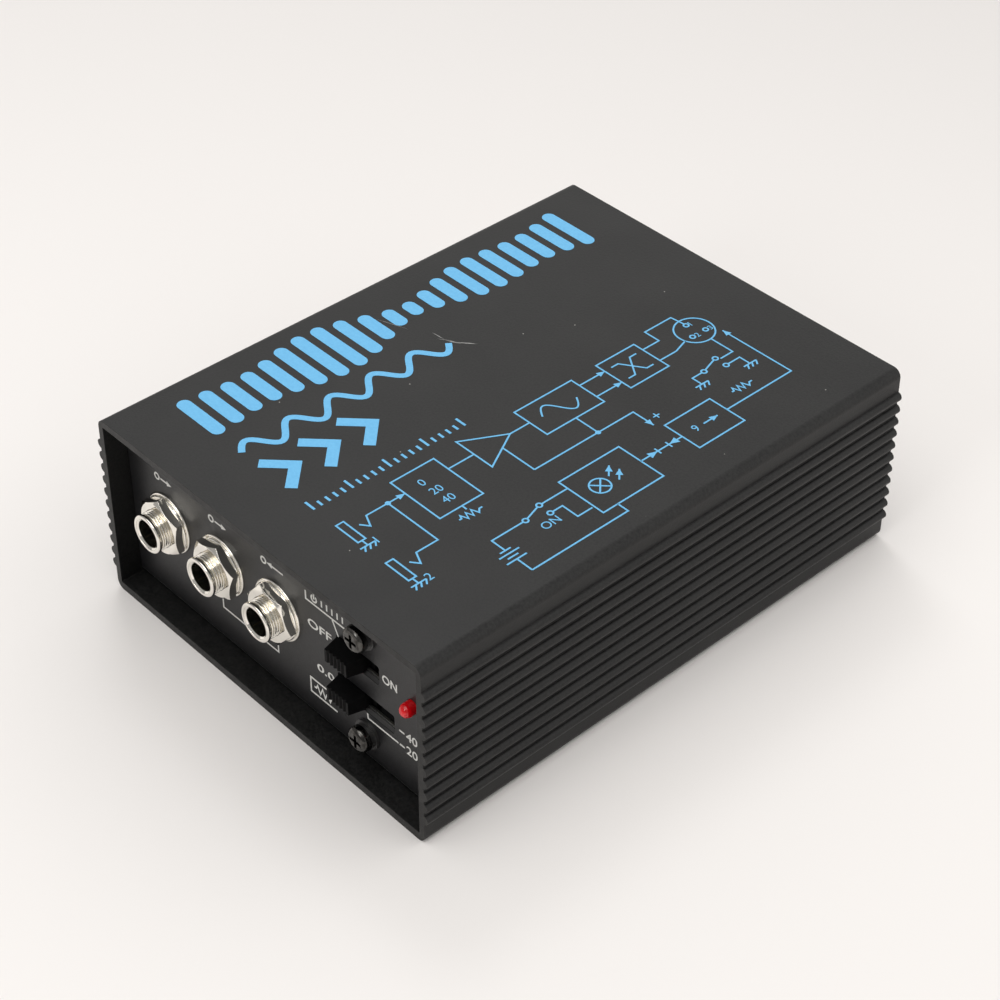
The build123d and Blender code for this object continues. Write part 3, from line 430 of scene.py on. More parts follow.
def casingSurface(name, look):
    # Satin black with a fine grain, lighter patches over the end faces and a thin band behind them, and
    # specks of dust on top. The lighter patches are painted highlight on the end rims together with
    # edge wear
    material, shader = startMaterial(name, look)
    tree = material.node_tree
    vector = placeVector(tree)
    grain = addNoise(tree, vector, look["grain"], look["grainDetail"], look["grainRough"])
    cloud = addNoise(tree, vector, look["cloud"], 2.0)
    fineShare = addMath(tree, "MULTIPLY", grain, 1 - look["cloudShare"])
    speckle = addMath(tree, "ADD", fineShare, addMath(tree, "MULTIPLY", cloud, look["cloudShare"]))
    blend = addRange(tree, speckle, *look["blend"], 0, 1)
    colour = addMix(tree, blend, look["colour"], look["second"])
    split = tree.nodes.new("ShaderNodeSeparateXYZ")
    tree.links.new(vector, split.inputs["Vector"])
    fromMiddle = addMath(tree, "ABSOLUTE", split.outputs["Y"])
    endGap = addMath(tree, "SUBTRACT", float(casingEnd * mm), fromMiddle)
    topGap = addMath(tree, "SUBTRACT", float(topFace * mm), split.outputs["Z"])
    # Painted highlight together with wear: lighter patches on the end faces and within a short width
    # behind them
    nearEnd = addRange(tree, endGap, 0, look["wornAndLitWidth"], 1, 0)
    patches = addRange(tree, addNoise(tree, vector, look["wornAndLitGrain"], 3.0), *look["wornAndLitFrom"], 0, 1)
    colour = addMix(tree, addMath(tree, "MULTIPLY", nearEnd, patches), colour, look["wornAndLit"])
    cells = tree.nodes.new("ShaderNodeTexVoronoi")
    cells.inputs["Scale"].default_value = look["dustScale"]
    tree.links.new(vector, cells.inputs["Vector"])
    sparse = addRange(tree, addNoise(tree, vector, look["dustArea"], 1.0), *look["dustFrom"], 0, 1)
    size = look["dustSize"]
    spot = addRange(tree, cells.outputs["Distance"], size * 0.6, size, 1, 0)
    nearTop = addRange(tree, topGap, *look["dustDepth"], 1, 0)
    dust = addMath(tree, "MULTIPLY", addMath(tree, "MULTIPLY", sparse, spot), nearTop)
    colour = addMix(tree, dust, colour, look["dust"])
    tree.links.new(colour, shader.inputs["Base Color"])
    addGrain(tree, shader, grain, look)
    return material


finishes["casingBlack"] = casingSurface("casingBlack", casingLook)


panelLook = {
    "gloss": 0.50,
    "colour": (0.005, 0.005, 0.006),
    "second": (0.009, 0.009, 0.010),
    # Lighter colour for the walls of the openings: a painted highlight
    "paintedEdgeHighlight": (0.075, 0.075, 0.075),
    "highlightFrom": 0.00012,
    "highlightTo": 0.00105,
    "grain": 900,
    "roughness": (0.36, 0.46),
    "bump": 0.000012,
}


def panelSurface(name, look):
    # Semi-gloss black on the faces. The walls of the openings, just behind the face, are painted
    # lighter: a painted highlight standing in for the light they catch from above
    material, shader = startMaterial(name, look)
    tree = material.node_tree
    vector = placeVector(tree)
    colour, fine = addMottle(tree, vector, look)
    split = tree.nodes.new("ShaderNodeSeparateXYZ")
    tree.links.new(vector, split.inputs["Vector"])
    fromMiddle = addMath(tree, "ABSOLUTE", split.outputs["Y"])
    depth = addMath(tree, "SUBTRACT", float(rearFace * mm), fromMiddle)
    # Painted highlight: surfaces between two depths behind the face, the walls of the openings, take
    # the lighter colour
    highlightMask = addMath(tree, "GREATER_THAN", depth, look["highlightFrom"])
    highlightMask = addMath(tree, "MULTIPLY", highlightMask, addMath(tree, "LESS_THAN", depth, look["highlightTo"]))
    colour = addMix(tree, highlightMask, colour, look["paintedEdgeHighlight"])
    tree.links.new(colour, shader.inputs["Base Color"])
    addGrain(tree, shader, fine, look)
    return material


finishes["panelBlack"] = panelSurface("panelBlack", panelLook)


batteryLook = {
    "gloss": 0.5,
    "jacket": (0.030, 0.032, 0.036),
    "band": (0.62, 0.30, 0.06),
    "bandStart": 0.012,
    "bandMetal": 0.8,
    "grain": 300,
    "roughness": (0.30, 0.42),
    "bump": 0.000008,
}


def batterySurface(name, look):
    # A dark jacket with a plain copper band round the terminal end
    material, shader = startMaterial(name, look)
    tree = material.node_tree
    vector = placeVector(tree)
    split = tree.nodes.new("ShaderNodeSeparateXYZ")
    tree.links.new(vector, split.inputs["Vector"])
    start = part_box("battery")[0].x + look["bandStart"]
    band = addMath(tree, "LESS_THAN", split.outputs["X"], start)
    colour = addMix(tree, band, look["jacket"], look["band"])
    tree.links.new(colour, shader.inputs["Base Color"])
    metal = addMath(tree, "MULTIPLY", band, look["bandMetal"])
    tree.links.new(metal, shader.inputs["Metallic"])
    addGrain(tree, shader, addNoise(tree, vector, look["grain"], 3.0), look)
    return material


finishes["batteryJacket"] = batterySurface("batteryJacket", batteryLook)

nodeFinishes = {
    "casingBlack": ["casing"],
    "panelBlack": ["front_panel", "rear_panel"],
    "nickel": [
        "jack_washers", "jack_lock_washers", "jack_nuts", "link_jack_bushing", "input_jack_bushing",
        "output_jack_bushing",
    ],
    "darkNickel": ["panel_screws"],
    "blackSteel": ["casing_screws", "lock_washers", "xlr_screws"],
    "zincSteel": [
        "chassis_plate", "pressed_nuts", "power_switch_frame", "pad_switch_frame", "phase_switch_frame",
        "ground_switch_frame", "switch_board_standoffs", "switch_board_screws", "board_spacers",
        "board_screws", "xlr_nuts", "case_screws", "door_pin",
    ],
    "blackPlastic": [
        "output_jack_housing", "link_jack_housing", "input_jack_housing", "power_switch_base",
        "pad_switch_base", "phase_switch_base", "ground_switch_base", "xlr_insert", "battery_case",
        "battery_door", "battery_snap",
    ],
    "shadedKnobPlastic": ["power_knob", "pad_knob", "phase_knob", "ground_knob"],
    "springBrass": ["jack_tip_springs", "jack_sleeve_springs"],
    "tinnedWire": ["switch_terminals", "lamp_leads"],
    "greenBoard": ["front_switch_board", "rear_switch_board", "main_board"],
    "redLens": ["power_lamp"],
    "capacitorSleeve": ["electrolytic_capacitors"],
    "chipBlack": ["op_amp_chips", "transistors"],
    "filmBox": ["film_capacitors"],
    "resistorBody": ["resistors"],
    "flatCable": ["ribbon_cables"],
    "blackChrome": ["xlr_shell"],
    "goldPlate": ["xlr_pins"],
    "batteryJacket": ["battery"],
    "foam": ["battery_pad"],
    "leadVinyl": ["battery_leads"],
}
for finish, names in nodeFinishes.items():
    for name in names:
        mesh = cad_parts[name].data
        mesh.materials.clear()
        mesh.materials.append(finishes[finish])
print("finishes on", sum(len(names) for names in nodeFinishes.values()), "nodes")


# Meshes from arrays. Lengths are in millimetres until the mesh is made

def newPiece(name, points, faces, finish, smooth=False, body="base"):
    mesh = bpy.data.meshes.new(name)
    mesh.from_pydata((np.asarray(points) * mm).tolist(), [], faces)
    mesh.materials.append(finishes[finish])
    mesh.polygons.foreach_set("use_smooth", np.full(len(mesh.polygons), smooth))
    mesh.update()
    piece = bpy.data.objects.new(name, mesh)
    bpy.context.scene.collection.objects.link(piece)
    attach(piece, body)
    return piece


# Where print lies: along and across the reading direction, then its height above the surface

def onTop(points):
    along, across, height = points.T
    return np.stack([-across, along, topFace + height], 1)


def onFront(points):
    along, across, height = points.T
    return np.stack([along, frontFace - height, across], 1)


def onRear(points):
    along, across, height = points.T
    return np.stack([-along, rearFace + height, across], 1)


ink = {"above": 0.035, "below": 0.02, "layerStep": 0.0015, "layers": 8, "sharpest": 0.35}


class Sheet:
    # Gathers flat inked shapes on one surface and makes them one mesh
    def __init__(self, place, above=ink["above"]):
        self.place, self.above, self.points, self.faces = place, above, [], []
        self.count = self.layer = 0

    def add(self, points, faces):
        self.points.append(self.place(np.asarray(points, float)))
        self.faces += [tuple(corner + self.count for corner in face) for face in faces]
        self.count += len(points)
        self.layer = (self.layer + 1) % ink["layers"]

    def top(self):
        # Crossing strokes lie at slightly different heights
        return self.above + ink["layerStep"] * self.layer

    def slab(self, outline):
        # An outline counter-clockwise, carried from below the surface to the ink's height
        outline = np.asarray(outline, float)
        n = len(outline)
        low = np.column_stack([outline, np.full(n, -ink["below"])])
        high = np.column_stack([outline, np.full(n, self.top())])
        i = np.arange(n)
        j = (i + 1) % n
        sides = np.stack([i, j, j + n, i + n], 1).tolist()
        self.add(np.vstack([low, high]), sides + [(i + n).tolist(), i[::-1].tolist()])

    def stroke(self, path, width, closed=False):
        # A flat bar of one width carried along a path. At a corner its edge moves out along the
        # middle of the two sides' normals, by half the width over the cosine of half the turn
        path = np.asarray(path, float)
        n = len(path)
        ahead = np.roll(path, -1, 0) - path
        ahead /= np.linalg.norm(ahead, axis=1, keepdims=True) + 1e-12
        behind = np.roll(ahead, 1, 0)
        if not closed:
            ahead[-1] = behind[-1]
            behind[0] = ahead[0]
        sideAhead = np.column_stack([-ahead[:, 1], ahead[:, 0]])
        sideBehind = np.column_stack([-behind[:, 1], behind[:, 0]])
        turn = 1 + (sideAhead * sideBehind).sum(1, keepdims=True)
        side = (sideAhead + sideBehind) / np.maximum(turn, ink["sharpest"]) * width / 2
        left, right = path + side, path - side
        top, low = self.top(), -ink["below"]
        corners = ((left, low), (right, low), (right, top), (left, top))
        ring = [np.column_stack([edge, np.full(n, height)]) for edge, height in corners]
        points = np.stack(ring, 1).reshape(-1, 3)
        i = np.arange(n if closed else n - 1)
        j = (i + 1) % n
        faces = []
        for k in range(4):
            m = (k + 1) % 4
            faces += np.stack([i * 4 + k, j * 4 + k, j * 4 + m, i * 4 + m], 1).tolist()
        if not closed:
            faces += [(0, 1, 2, 3), tuple(4 * (n - 1) + k for k in (3, 2, 1, 0))]
        self.add(points, faces)

    def ring(self, centre, radius, width, sides, start=0, sweep=360):
        # A stroke round a centre, from a start angle in degrees
        closed = sweep == 360
        angles = radians(start) + np.linspace(0, radians(sweep), sides, endpoint=not closed)
        circle = np.column_stack([np.cos(angles), np.sin(angles)])
        self.stroke(np.asarray(centre) + radius * circle, width, closed)

    def disc(self, centre, radius, sides=20):
        angles = np.linspace(0, 2 * pi, sides, endpoint=False)
        circle = np.column_stack([np.cos(angles), np.sin(angles)])
        self.slab(np.asarray(centre) + radius * circle)

    def capsule(self, along, low, high, width):
        # A bar across the reading direction with round ends
        r = width / 2
        arc = np.linspace(0, pi, 13)
        upper = np.column_stack([along + r * np.cos(arc), high - r + r * np.sin(arc)])
        lower = np.column_stack([along - r * np.cos(arc), low + r - r * np.sin(arc)])
        self.slab(np.vstack([upper, lower]))

    def arrowHead(self, tip, direction, size):
        # A triangle 0.84 times as wide as it is long
        d = np.array(direction, float) / np.hypot(*direction)
        n = np.array([-d[1], d[0]])
        tip = np.array(tip, float)
        self.slab([tip, tip - size * d + 0.42 * size * n, tip - size * d - 0.42 * size * n])

    def finish(self, name, finish, slot):
        newPiece(name, np.vstack(self.points), self.faces, finish)


glyph = {"detail": 4, "half": 0.01, "weld": 1e-5}


def addWords(sheet, text, along, across, height, width=None, weight=0.0):
    # Plain numerals and ON or OFF, from the built-in face, as thin slabs with the lower left
    # corner at a point, scaled to a height and, where it is given, a width
    data = bpy.data.curves.new("mark", "FONT")
    data.body = text
    data.resolution_u = glyph["detail"]
    data.fill_mode = "BOTH"
    data.extrude = glyph["half"]
    data.offset = weight
    holder = bpy.data.objects.new("mark", data)
    bpy.context.scene.collection.objects.link(holder)
    mesh = holder.evaluated_get(bpy.context.evaluated_depsgraph_get()).to_mesh()
    solid = bmesh.new()
    solid.from_mesh(mesh)
    holder.to_mesh_clear()
    bpy.data.objects.remove(holder)
    bmesh.ops.remove_doubles(solid, verts=solid.verts, dist=glyph["weld"])
    bmesh.ops.recalc_face_normals(solid, faces=solid.faces)
    solid.verts.index_update()
    points = np.array([corner.co for corner in solid.verts])
    faces = [tuple(corner.index for corner in face.verts) for face in solid.faces]
    solid.free()
    low, high = points.min(0), points.max(0)
    size = height / (high[1] - low[1])
    stretch = 1.0 if width is None else width / (size * (high[0] - low[0]))
    flat = (points[:, :2] - low[:2]) * size * (stretch, 1)
    level = np.where(points[:, 2] > 0, sheet.top(), -ink["below"])
    sheet.add(np.column_stack([flat + (along, across), level]), faces)


# Bold print on the top: level bars, a wave, chevrons and a row of ticks

boldPrint = {
    "barsFrom": -53.7, "barsTo": 55.3, "bars": 21, "barWidth": 3.3,
    "barMiddle": 36.7, "tallest": 19.2, "shortest": 4.4,
    "swell": ((6.0, 0.62), (9.0, 0.21)), "swellPower": 0.8,
    "waveFrom": -53.0, "waveTo": 3.2, "waveMiddle": 21.6, "waveHeight": 2.6,
    "waveWidth": 1.5, "waveTurns": 5, "waveSteps": 121,
    "chevrons": (-52.7, -42.5, -32.3), "chevronLow": 5.9, "chevronHigh": 16.5, "chevronWidth": 2.6,
    "ticksFrom": -53.4, "ticks": 21, "tickPitch": 2.0, "tickLow": -2.4, "tickWidth": 0.55,
    "longTick": 3.0, "shortTick": 1.7, "longEvery": 5,
}


def topBoldPrint(values):
    # The bars' heights follow the product of two cosines of the bar's number. The wave is a sine
    sheet = Sheet(onTop)
    half = values["barWidth"] / 2
    count = values["bars"]
    alongs = np.linspace(values["barsFrom"] + half, values["barsTo"] - half, count)
    (crest, pace), (slowCrest, slowPace) = values["swell"]
    k = np.arange(count)
    swell = 0.5 + 0.5 * np.cos((k - crest) * pace) * np.cos((k - slowCrest) * slowPace)
    growth = values["tallest"] - values["shortest"]
    heights = values["shortest"] + growth * np.clip(swell, 0, 1) ** values["swellPower"]
    middle = values["barMiddle"]
    for along, height in zip(alongs, heights):
        sheet.capsule(along, middle - height / 2, middle + height / 2, values["barWidth"])
    start, end = values["waveFrom"], values["waveTo"]
    s = np.linspace(0, 1, values["waveSteps"])
    wave = values["waveMiddle"] + values["waveHeight"] * np.sin(2 * pi * values["waveTurns"] * s)
    sheet.stroke(np.column_stack([start + (end - start) * s, wave]), values["waveWidth"])
    low, high = values["chevronLow"], values["chevronHigh"]
    for along in values["chevrons"]:
        tip = (along + (high - low) / 2, (low + high) / 2)
        sheet.stroke([(along, low), tip, (along, high)], values["chevronWidth"])
    for n in range(values["ticks"]):
        along, low = values["ticksFrom"] + n * values["tickPitch"], values["tickLow"]
        height = values["shortTick"] if n % values["longEvery"] else values["longTick"]
        sheet.stroke([(along, low), (along, low + height)], values["tickWidth"])
    sheet.finish("topBoldPrint", "printBlue", "black_anodised")


topBoldPrint(boldPrint)


# Ways to draw a mark. Paths in a symbol are measured from the symbol's own place

symbols = {
    "arrow": 1.9,
    "sleeve": ((0, -3.4), (1.9, -3.4), (1.9, 3.4), (0, 3.4)),
    "sleeveLead": ((0.95, -3.6), (0.95, -5.2)),
    "tipContact": ((3.6, 0.6), (5.0, -1.2), (6.4, 1.8), (9.0, 1.8)),
    "ground": (
        ((-1.9, 0), (1.9, 0)),
        ((-0.7, 0), (-1.6, -1.3)),
        ((0.6, 0), (-0.3, -1.3)),
        ((1.9, 0), (1.0, -1.3)),
    ),
    "contacts": ((0, 0), (5.2, 1.6), (5.2, -1.6)), "contact": 0.62,
    "lever": ((0.62, 0.2), (4.6, 1.45)),
    "diode": 2.2, "diodeTip": 1.1, "diodeBar": 1.3, "diodeHalf": 1.0,
    "resistorEnds": ((-0.3, 0.3), (5.0, 5.8)), "resistorTeeth": 6,
    "cells": (2.6, 1.4, 2.6, 1.4), "cellPitch": 1.1,
    "socket": 4.6, "pinCircle": 2.5, "pin": 0.6, "pinAngles": (90, 215, 325),
    "pinFigure": (0.9, -0.9, 1.5),
    "plug": 0.75, "plugMiddle": 0.95, "plugHead": 1.6,
    "plugOut": (2.2, 5.4, 6.0), "plugIn": (7.2, 2.6, 2.0),
}


def moved(path, along, across):
    return [(along + x, across + y) for x, y in path]


def drawPath(sheet, line, *path):
    sheet.stroke(path, line)


def drawLoop(sheet, line, *path):
    sheet.stroke(path, line, True)


def drawArrow(sheet, line, *path):
    sheet.stroke(path, line)
    (x0, y0), (x1, y1) = path[-2:]
    sheet.arrowHead((x1, y1), (x1 - x0, y1 - y0), symbols["arrow"])


def drawBox(sheet, line, left, right, low, high):
    sheet.stroke([(left, low), (right, low), (right, high), (left, high)], line, True)


def drawRing(sheet, line, centre, radius, sides, start=0, sweep=360):
    sheet.ring(centre, radius, line, sides, start, sweep)


def drawDisc(sheet, line, centre, radius):
    sheet.disc(centre, radius)


def drawSine(sheet, line, start, end, middle, height):
    s = np.linspace(0, 1, 41)
    wave = middle + height * np.sin(2 * pi * s)
    sheet.stroke(np.column_stack([start + (end - start) * s, wave]), line)


def drawTicks(sheet, line, start, low, high, pitch, count):
    for n in range(count):
        along = start + pitch * n
        sheet.stroke([(along, low), (along, high)], line)


def drawWords(sheet, line, *values):
    addWords(sheet, *values)


def drawGround(sheet, line, along, across):
    for path in symbols["ground"]:
        sheet.stroke(moved(path, along, across), line)


def drawJack(sheet, line, along, across):
    # A sleeve that is led to ground and a bent contact for the plug's tip
    sheet.stroke(moved(symbols["sleeve"], along, across), line, True)
    lead = moved(symbols["sleeveLead"], along, across)
    sheet.stroke(lead, line)
    drawGround(sheet, line, *lead[-1])
    sheet.stroke(moved(symbols["tipContact"], along, across), line)


def drawSwitch(sheet, line, along, across):
    # Three contacts and a lever that rests on one of them
    for point in moved(symbols["contacts"], along, across):
        sheet.ring(point, symbols["contact"], line, 14)
    sheet.stroke(moved(symbols["lever"], along, across), line)


def drawDiode(sheet, line, along, across, turn):
    sheet.arrowHead((along + turn * symbols["diodeTip"], across), (turn, 0), symbols["diode"])
    bar, half = along + turn * symbols["diodeBar"], symbols["diodeHalf"]
    sheet.stroke([(bar, across - half), (bar, across + half)], line)


def drawResistor(sheet, line, along, across, pitch=0.7, height=0.9):
    # Teeth alternately above and below a straight lead
    count = symbols["resistorTeeth"] + 1
    teeth = [(pitch * n, height if n % 2 else -height) for n in range(1, count)]
    first, last = ([(x, 0) for x in end] for end in symbols["resistorEnds"])
    sheet.stroke(moved(first + teeth + last, along, across), line)


def drawCells(sheet, line, along, across):
    for n, half in enumerate(symbols["cells"]):
        level = across + symbols["cellPitch"] * n
        sheet.stroke([(along - half, level), (along + half, level)], line)


def drawSocket(sheet, line, along, across):
    # A round socket with three numbered pins
    sheet.ring((along, across), symbols["socket"], line, 40)
    right, down, figure = symbols["pinFigure"]
    for number, angle in enumerate(symbols["pinAngles"], 1):
        x = along + symbols["pinCircle"] * cos(radians(angle))
        y = across + symbols["pinCircle"] * sin(radians(angle))
        sheet.ring((x, y), symbols["pin"], line, 14)
        addWords(sheet, str(number), x + right, y + down, figure)


def drawPlug(sheet, line, along, across, outwards):
    # A ring and an arrow that leaves it or enters it
    middle = symbols["plugMiddle"]
    sheet.ring((along + middle, across + middle), symbols["plug"], line, 20)
    start, end, tip = symbols["plugOut" if outwards else "plugIn"]
    sheet.stroke([(along + start, across + middle), (along + end, across + middle)], line)
    direction = (1 if outwards else -1, 0)
    sheet.arrowHead((along + tip, across + middle), direction, symbols["plugHead"])


drawings = {
    "path": drawPath, "loop": drawLoop, "arrow": drawArrow, "box": drawBox, "ring": drawRing,
    "disc": drawDisc, "sine": drawSine, "ticks": drawTicks, "words": drawWords,
    "ground": drawGround, "jack": drawJack, "switch": drawSwitch, "diode": drawDiode,
    "resistor": drawResistor, "cells": drawCells, "socket": drawSocket, "plug": drawPlug,
}


def drawPrint(name, place, values, finish, slot):
    # Each mark names its drawing, then gives what that takes after the sheet and the line
    sheet = Sheet(place)
    for drawing, *details in values["marks"]:
        drawings[drawing](sheet, values["line"], *details)
    sheet.finish(name, finish, slot)


# Thin signal-flow diagram on the top

diagram = {
    "line": 0.38,
    "marks": [
        # Two sockets
        ("jack", -53.5, -12.5),
        ("jack", -53.5, -27.5),
        ("words", "1", -50.5, -18.6, 2.1),
        ("words", "2", -50.5, -33.6, 2.1),
        ("path", (-44.5, -25.7), (-41.5, -25.7), (-41.5, -10.7)),
        ("disc", (-41.5, -10.7), 0.62),
        # Step attenuator
        ("arrow", (-44.5, -10.7), (-37.0, -10.7)),
        ("box", -37.0, -25.5, -21.2, -6.2),
        ("words", "0", -33.0, -11.4, 2.1),
        ("words", "20", -33.0, -15.0, 2.1),
        ("words", "40", -33.0, -18.6, 2.1),
        ("resistor", -34.2, -24.1),
        ("path", (-31.2, -21.2), (-31.2, -22.6)),
        # Amplifier
        ("path", (-25.5, -10.7), (-18.5, -10.7)),
        ("loop", (-18.5, -16.2), (-8.5, -10.7), (-18.5, -5.2)),
        ("path", (-8.5, -10.7), (-3.0, -10.7)),
        # Shaping stage
        ("box", -3.0, 13.5, -16.0, -6.0),
        ("sine", 0.4, 10.2, -11.0, 2.6),
        # Two paths cross in the phase stage
        ("arrow", (13.5, -8.5), (21.0, -8.5)),
        ("arrow", (13.5, -13.7), (21.0, -13.7)),
        ("box", 21.0, 32.5, -16.4, -5.8),
        ("path", (23.0, -8.5), (25.0, -8.5), (28.5, -13.7), (30.5, -13.7)),
        ("path", (23.0, -13.7), (25.0, -13.7), (28.5, -8.5), (30.5, -8.5)),
        # Output
        ("socket", 46.0, -11.0),
        ("path", (32.5, -8.5), (37.5, -8.5), (37.5, -4.2), (45.6, -4.2), (46.0, -7.9)),
        ("path", (32.5, -13.7), (37.5, -13.7), (41.7, -12.4)),
        # Ground switch
        ("path", (46.4, -15.6), (46.4, -22.0), (42.6, -22.0)),
        ("switch", 36.6, -22.8),
        ("path", (36.0, -22.8), (33.0, -22.8), (33.0, -25.6)),
        ("ground", 33.0, -25.6),
        ("path", (42.4, -24.4), (46.0, -24.4), (46.0, -27.4)),
        ("ground", 46.0, -27.4),
        # Battery and power switch
        ("path", (-34.0, -44.5), (-34.0, -40.2)),
        ("cells", -34.0, -40.2),
        ("path", (-34.0, -36.9), (-34.0, -33.0), (-25.6, -33.0)),
        ("path", (-34.0, -44.5), (-8.0, -44.5), (-8.0, -41.6)),
        ("switch", -25.0, -33.0),
        ("path", (-19.2, -31.4), (-12.0, -31.4)),
        ("path", (-19.2, -34.6), (-16.5, -34.6), (-16.5, -39.0), (-12.5, -39.0)),
        ("words", "ON", -24.0, -37.8, 2.1),
        # Lamp
        ("box", -12.0, 5.0, -41.6, -28.8),
        ("ring", (-6.6, -35.2), 2.3, 28),
        ("path", (-8.2, -36.8), (-5.0, -33.6)),
        ("path", (-8.2, -33.6), (-5.0, -36.8)),
        ("arrow", (-3.2, -34.2), (-0.8, -31.8)),
        ("arrow", (-2.4, -36.4), (0.0, -34.0)),
        # Diodes, regulator and supply rail
        ("path", (5.0, -35.2), (17.0, -35.2)),
        ("diode", 8.6, -35.2, 1),
        ("diode", 14.4, -35.2, -1),
        ("box", 17.0, 30.5, -40.2, -30.2),
        ("words", "9", 20.4, -36.2, 2.1),
        ("arrow", (23.4, -35.2), (27.6, -35.2)),
        ("path", (30.5, -35.2), (50.5, -35.2), (50.5, -16.5)),
        ("arrow", (50.5, -20.0), (50.5, -15.2)),
        ("resistor", 36.0, -31.8),
        ("path", (5.2, -22.6), (5.2, -16.0)),
        ("disc", (5.2, -22.6), 0.62),
        ("arrow", (-12.8, -22.6), (15.4, -22.6), (15.4, -28.6)),
        ("path", (-12.8, -22.6), (-12.8, -13.2)),
        ("words", "+", 17.2, -27.6, 1.8),
    ],
}
drawPrint("topDiagram", onTop, diagram, "printBlue", "black_anodised")


# Start, end and width of each scratch on the top

scratches = {
    "above": 0.010,
    "marks": [
        ((-2.6, 39.2), (0.2, 31.4), 0.16),
        ((3.2, 27.0), (3.5, 23.2), 0.26),
        ((3.4, 22.9), (5.2, 19.6), 0.42),
        ((4.5, 20.9), (7.7, 17.1), 0.40),
        ((2.4, 24.6), (4.6, 21.4), 0.14),
    ],
}


def topScratches(values):
    # Slivers that taper to both ends and lie lower than the ink
    sheet = Sheet(onTop, values["above"])
    for start, end, width in values["marks"]:
        start, end = np.array(start), np.array(end)
        ahead = (end - start) / np.linalg.norm(end - start)
        side = np.array((-ahead[1], ahead[0])) * width / 2
        middle = (start + end) / 2
        sheet.slab([start, middle - side, end, middle + side])
    sheet.finish("topScratches", "scuffGrey", "black_anodised")


topScratches(scratches)
print("top printed")


# White print on the two end panels

frontMarks = {
    "line": 0.40,
    "marks": [
        ("plug", -40.0, 34.2, True),
        ("plug", -21.4, 34.2, True),
        ("plug", -4.1, 34.2, False),
        # Link between the second and the third jack
        ("path", (-18.7, 16.2), (-18.7, 12.0), (-0.2, 12.0), (-0.2, 14.0)),
        # Power switch
        ("path", (22.3, 33.75), (10.2, 33.75), (10.2, 35.9)),
        ("ring", (12.8, 35.3), 0.80, 20, 125, 290),
        ("path", (12.8, 35.2), (12.8, 36.5)),
        ("ticks", 15.2, 34.7, 36.3, 1.6, 5),
        ("path", (18.4, 33.5), (20.1, 30.2)),
        ("words", "OFF", 10.4, 26.9, 2.2, 7.4, 0.012),
        ("words", "ON", 33.2, 27.5, 2.2, 4.4, 0.016),
        # Step attenuator
        ("words", "0.0", 12.7, 16.3, 1.9, 5.4, 0.012),
        ("path", (15.9, 12.5), (10.2, 12.5), (10.2, 8.55), (18.5, 8.55)),
        ("resistor", 11.6, 10.5, 0.78, 0.95),
        ("path", (28.2, 15.3), (28.35, 14.05), (37.5, 14.05)),
        ("words", "40", 39.9, 16.8, 2.2, 3.3, 0.012),
        ("path", (37.9, 17.9), (39.4, 17.9)),
        ("words", "20", 39.9, 13.0, 2.2, 3.3, 0.012),
        ("path", (37.9, 14.1), (39.4, 14.1)),
    ],
}

# An arrow over the output socket, a crossed ring for phase and an earth sign for ground

rearMarks = {
    "line": 0.40,
    "marks": [
        ("plug", 15.9, 39.8, True),
        ("ring", (-34.6, 28.1), 1.0, 20),
        ("path", (-35.6, 26.8), (-33.6, 29.4)),
        ("ground", -34.6, 18.2),
        ("path", (-34.6, 18.2), (-34.6, 20.0)),
        ("words", "0", -31.8, 27.2, 1.8),
        ("words", "1", -13.8, 27.2, 1.8),
        ("words", "0", -31.8, 17.1, 1.8),
        ("words", "1", -13.8, 17.1, 1.8),
    ],
}
drawPrint("frontPrint", onFront, frontMarks, "printWhite", "black_panel")
drawPrint("rearPrint", onRear, rearMarks, "printWhite", "black_panel")
print("panels printed")


# Jack collars: turned, with a helical thread between a bead and the nut

collar = {
    "reach": 6.1, "rim": 4.5, "bore": 3.25, "mouth": 3.68, "bevel": 0.42, "mouthRound": 0.10,
    "lip": 0.36, "ringLength": 0.85, "ringRound": 0.1,
    "groove": 3.86, "grooveLength": 0.20, "bead": 4.40, "beadLength": 0.46,
    "thread": 4.42, "threadDepth": 0.42, "threadPitch": 0.62, "threadGap": 0.06, "threadTo": 2.6,
    "threadRows": 14,
    "flange": 6.6, "flangeFrom": -1.2, "flangeTo": -2.4, "tail": -6.4, "boreRow": 2.0,
    "sides": 120, "crease": 38,
}


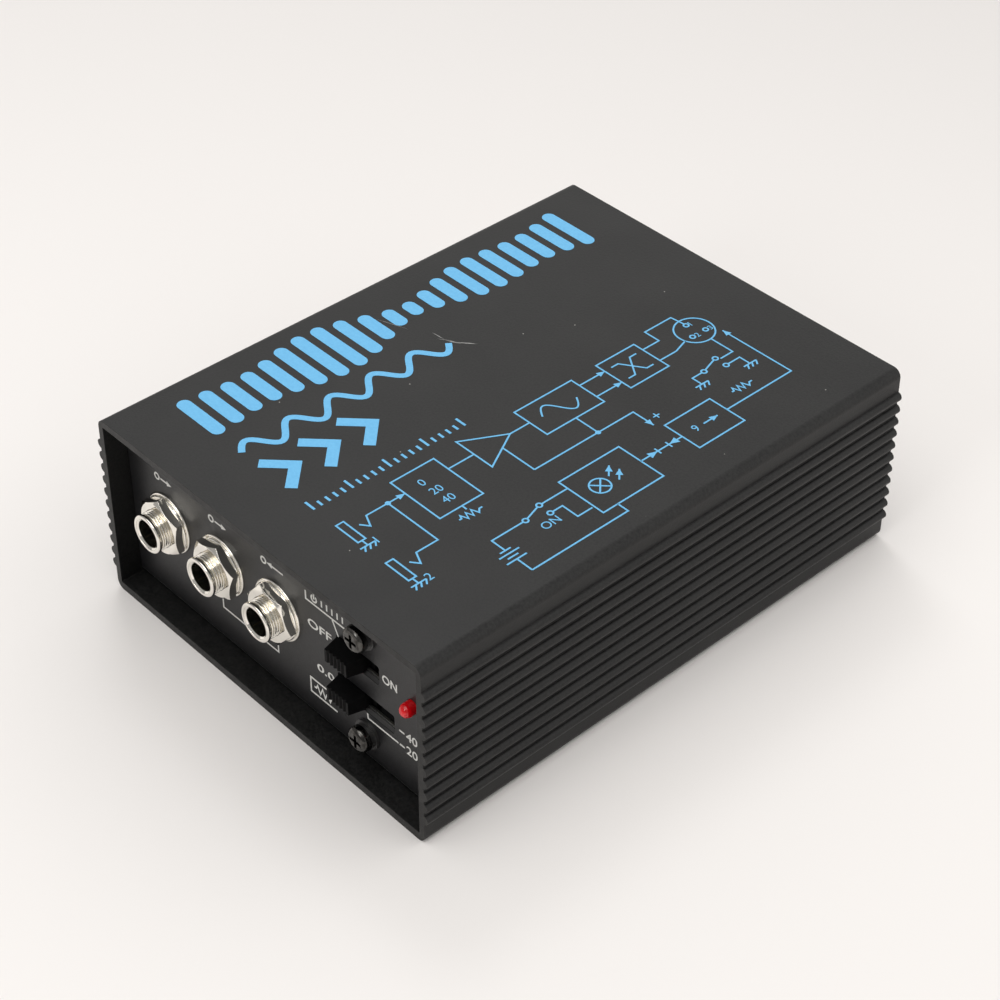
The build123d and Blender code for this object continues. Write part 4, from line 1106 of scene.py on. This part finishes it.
def collarProfile(values):
    # Distance in front of the panel and radius, from the bevelled mouth over the rim, down the
    # outside, round the flange and the tail and back through the bore
    reach, rim, bore, thread = (values[name] for name in ("reach", "rim", "bore", "thread"))
    lip, soft, groove = values["lip"], values["mouthRound"], values["groove"]
    bevelRow = [(reach - values["bevel"], bore)]
    arc = np.linspace(0, pi / 2, 7)
    mouth = values["mouth"] + soft
    innerRows = np.column_stack([reach - soft + soft * np.sin(arc), mouth - soft * np.cos(arc)])
    outerRows = np.column_stack([reach - lip + lip * np.cos(arc), rim - lip + lip * np.sin(arc)])
    ringBack = reach - values["ringLength"]
    grooveBack = ringBack - values["grooveLength"]
    beadBack = grooveBack - values["beadLength"]
    edge = values["ringRound"]
    grooveRows = [(ringBack + edge, rim), (ringBack, rim - edge), (ringBack - 0.01, groove)]
    arc = np.linspace(0, pi, 9)
    middle = (grooveBack + beadBack) / 2
    along = middle + values["beadLength"] / 2 * np.cos(arc)
    beadRows = np.column_stack([along, groove + (values["bead"] - groove) * np.sin(arc)])
    count = int((beadBack - values["threadTo"]) / values["threadPitch"] * values["threadRows"])
    along = np.linspace(beadBack - values["threadGap"], values["threadTo"], count)
    threadRows = np.column_stack([along, np.full(count, thread)])
    front, back, flange = values["flangeFrom"], values["flangeTo"], values["flange"]
    behindRows = [
        (front, thread), (front, flange), (back, flange), (back, thread),
        (values["tail"], thread), (values["tail"], bore), (values["boreRow"], bore),
    ]
    rows = [bevelRow, innerRows, outerRows, grooveRows, beadRows, threadRows, behindRows]
    isThread = np.concatenate([np.full(len(row), row is threadRows) for row in rows])
    return np.vstack(rows), isThread


def jackCollar(node, values):
    # Each profile point is carried round the axis. In the thread the radius also falls and rises
    # with the cosine of distance along the axis in pitches plus the angle in turns
    low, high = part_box(node)
    centre = (low.x + high.x) / 2 / mm
    profile, isThread = collarProfile(values)
    rows, sides = len(profile), values["sides"]
    angle = np.linspace(0, 2 * pi, sides, endpoint=False)
    forward = np.repeat(profile[:, :1], sides, 1)
    radius = np.repeat(profile[:, 1:], sides, 1)
    phase = forward / values["threadPitch"] + angle[None] / (2 * pi)
    cut = values["threadDepth"] * (0.5 - 0.5 * np.cos(2 * pi * phase))
    radius = radius - np.where(isThread[:, None], cut, 0)
    x = centre + radius * np.cos(angle)
    z = jackHeight + radius * np.sin(angle)
    points = np.stack([x, frontFace - forward, z], -1).reshape(-1, 3)
    i, j = np.meshgrid(np.arange(rows), np.arange(sides), indexing="ij")
    ni, nj = (i + 1) % rows, (j + 1) % sides
    corners = [i * sides + j, ni * sides + j, ni * sides + nj, i * sides + nj]
    faces = np.stack(corners, -1).reshape(-1, 4).tolist()
    piece = newPiece(node.replace("bushing", "collar"), points, faces, "turnedNickel", True)
    piece.data.set_sharp_from_angle(angle=radians(values["crease"]))
    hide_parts(node)


for node in ("output_jack_bushing", "link_jack_bushing", "input_jack_bushing"):
    jackCollar(node, collar)
print("collars turned")
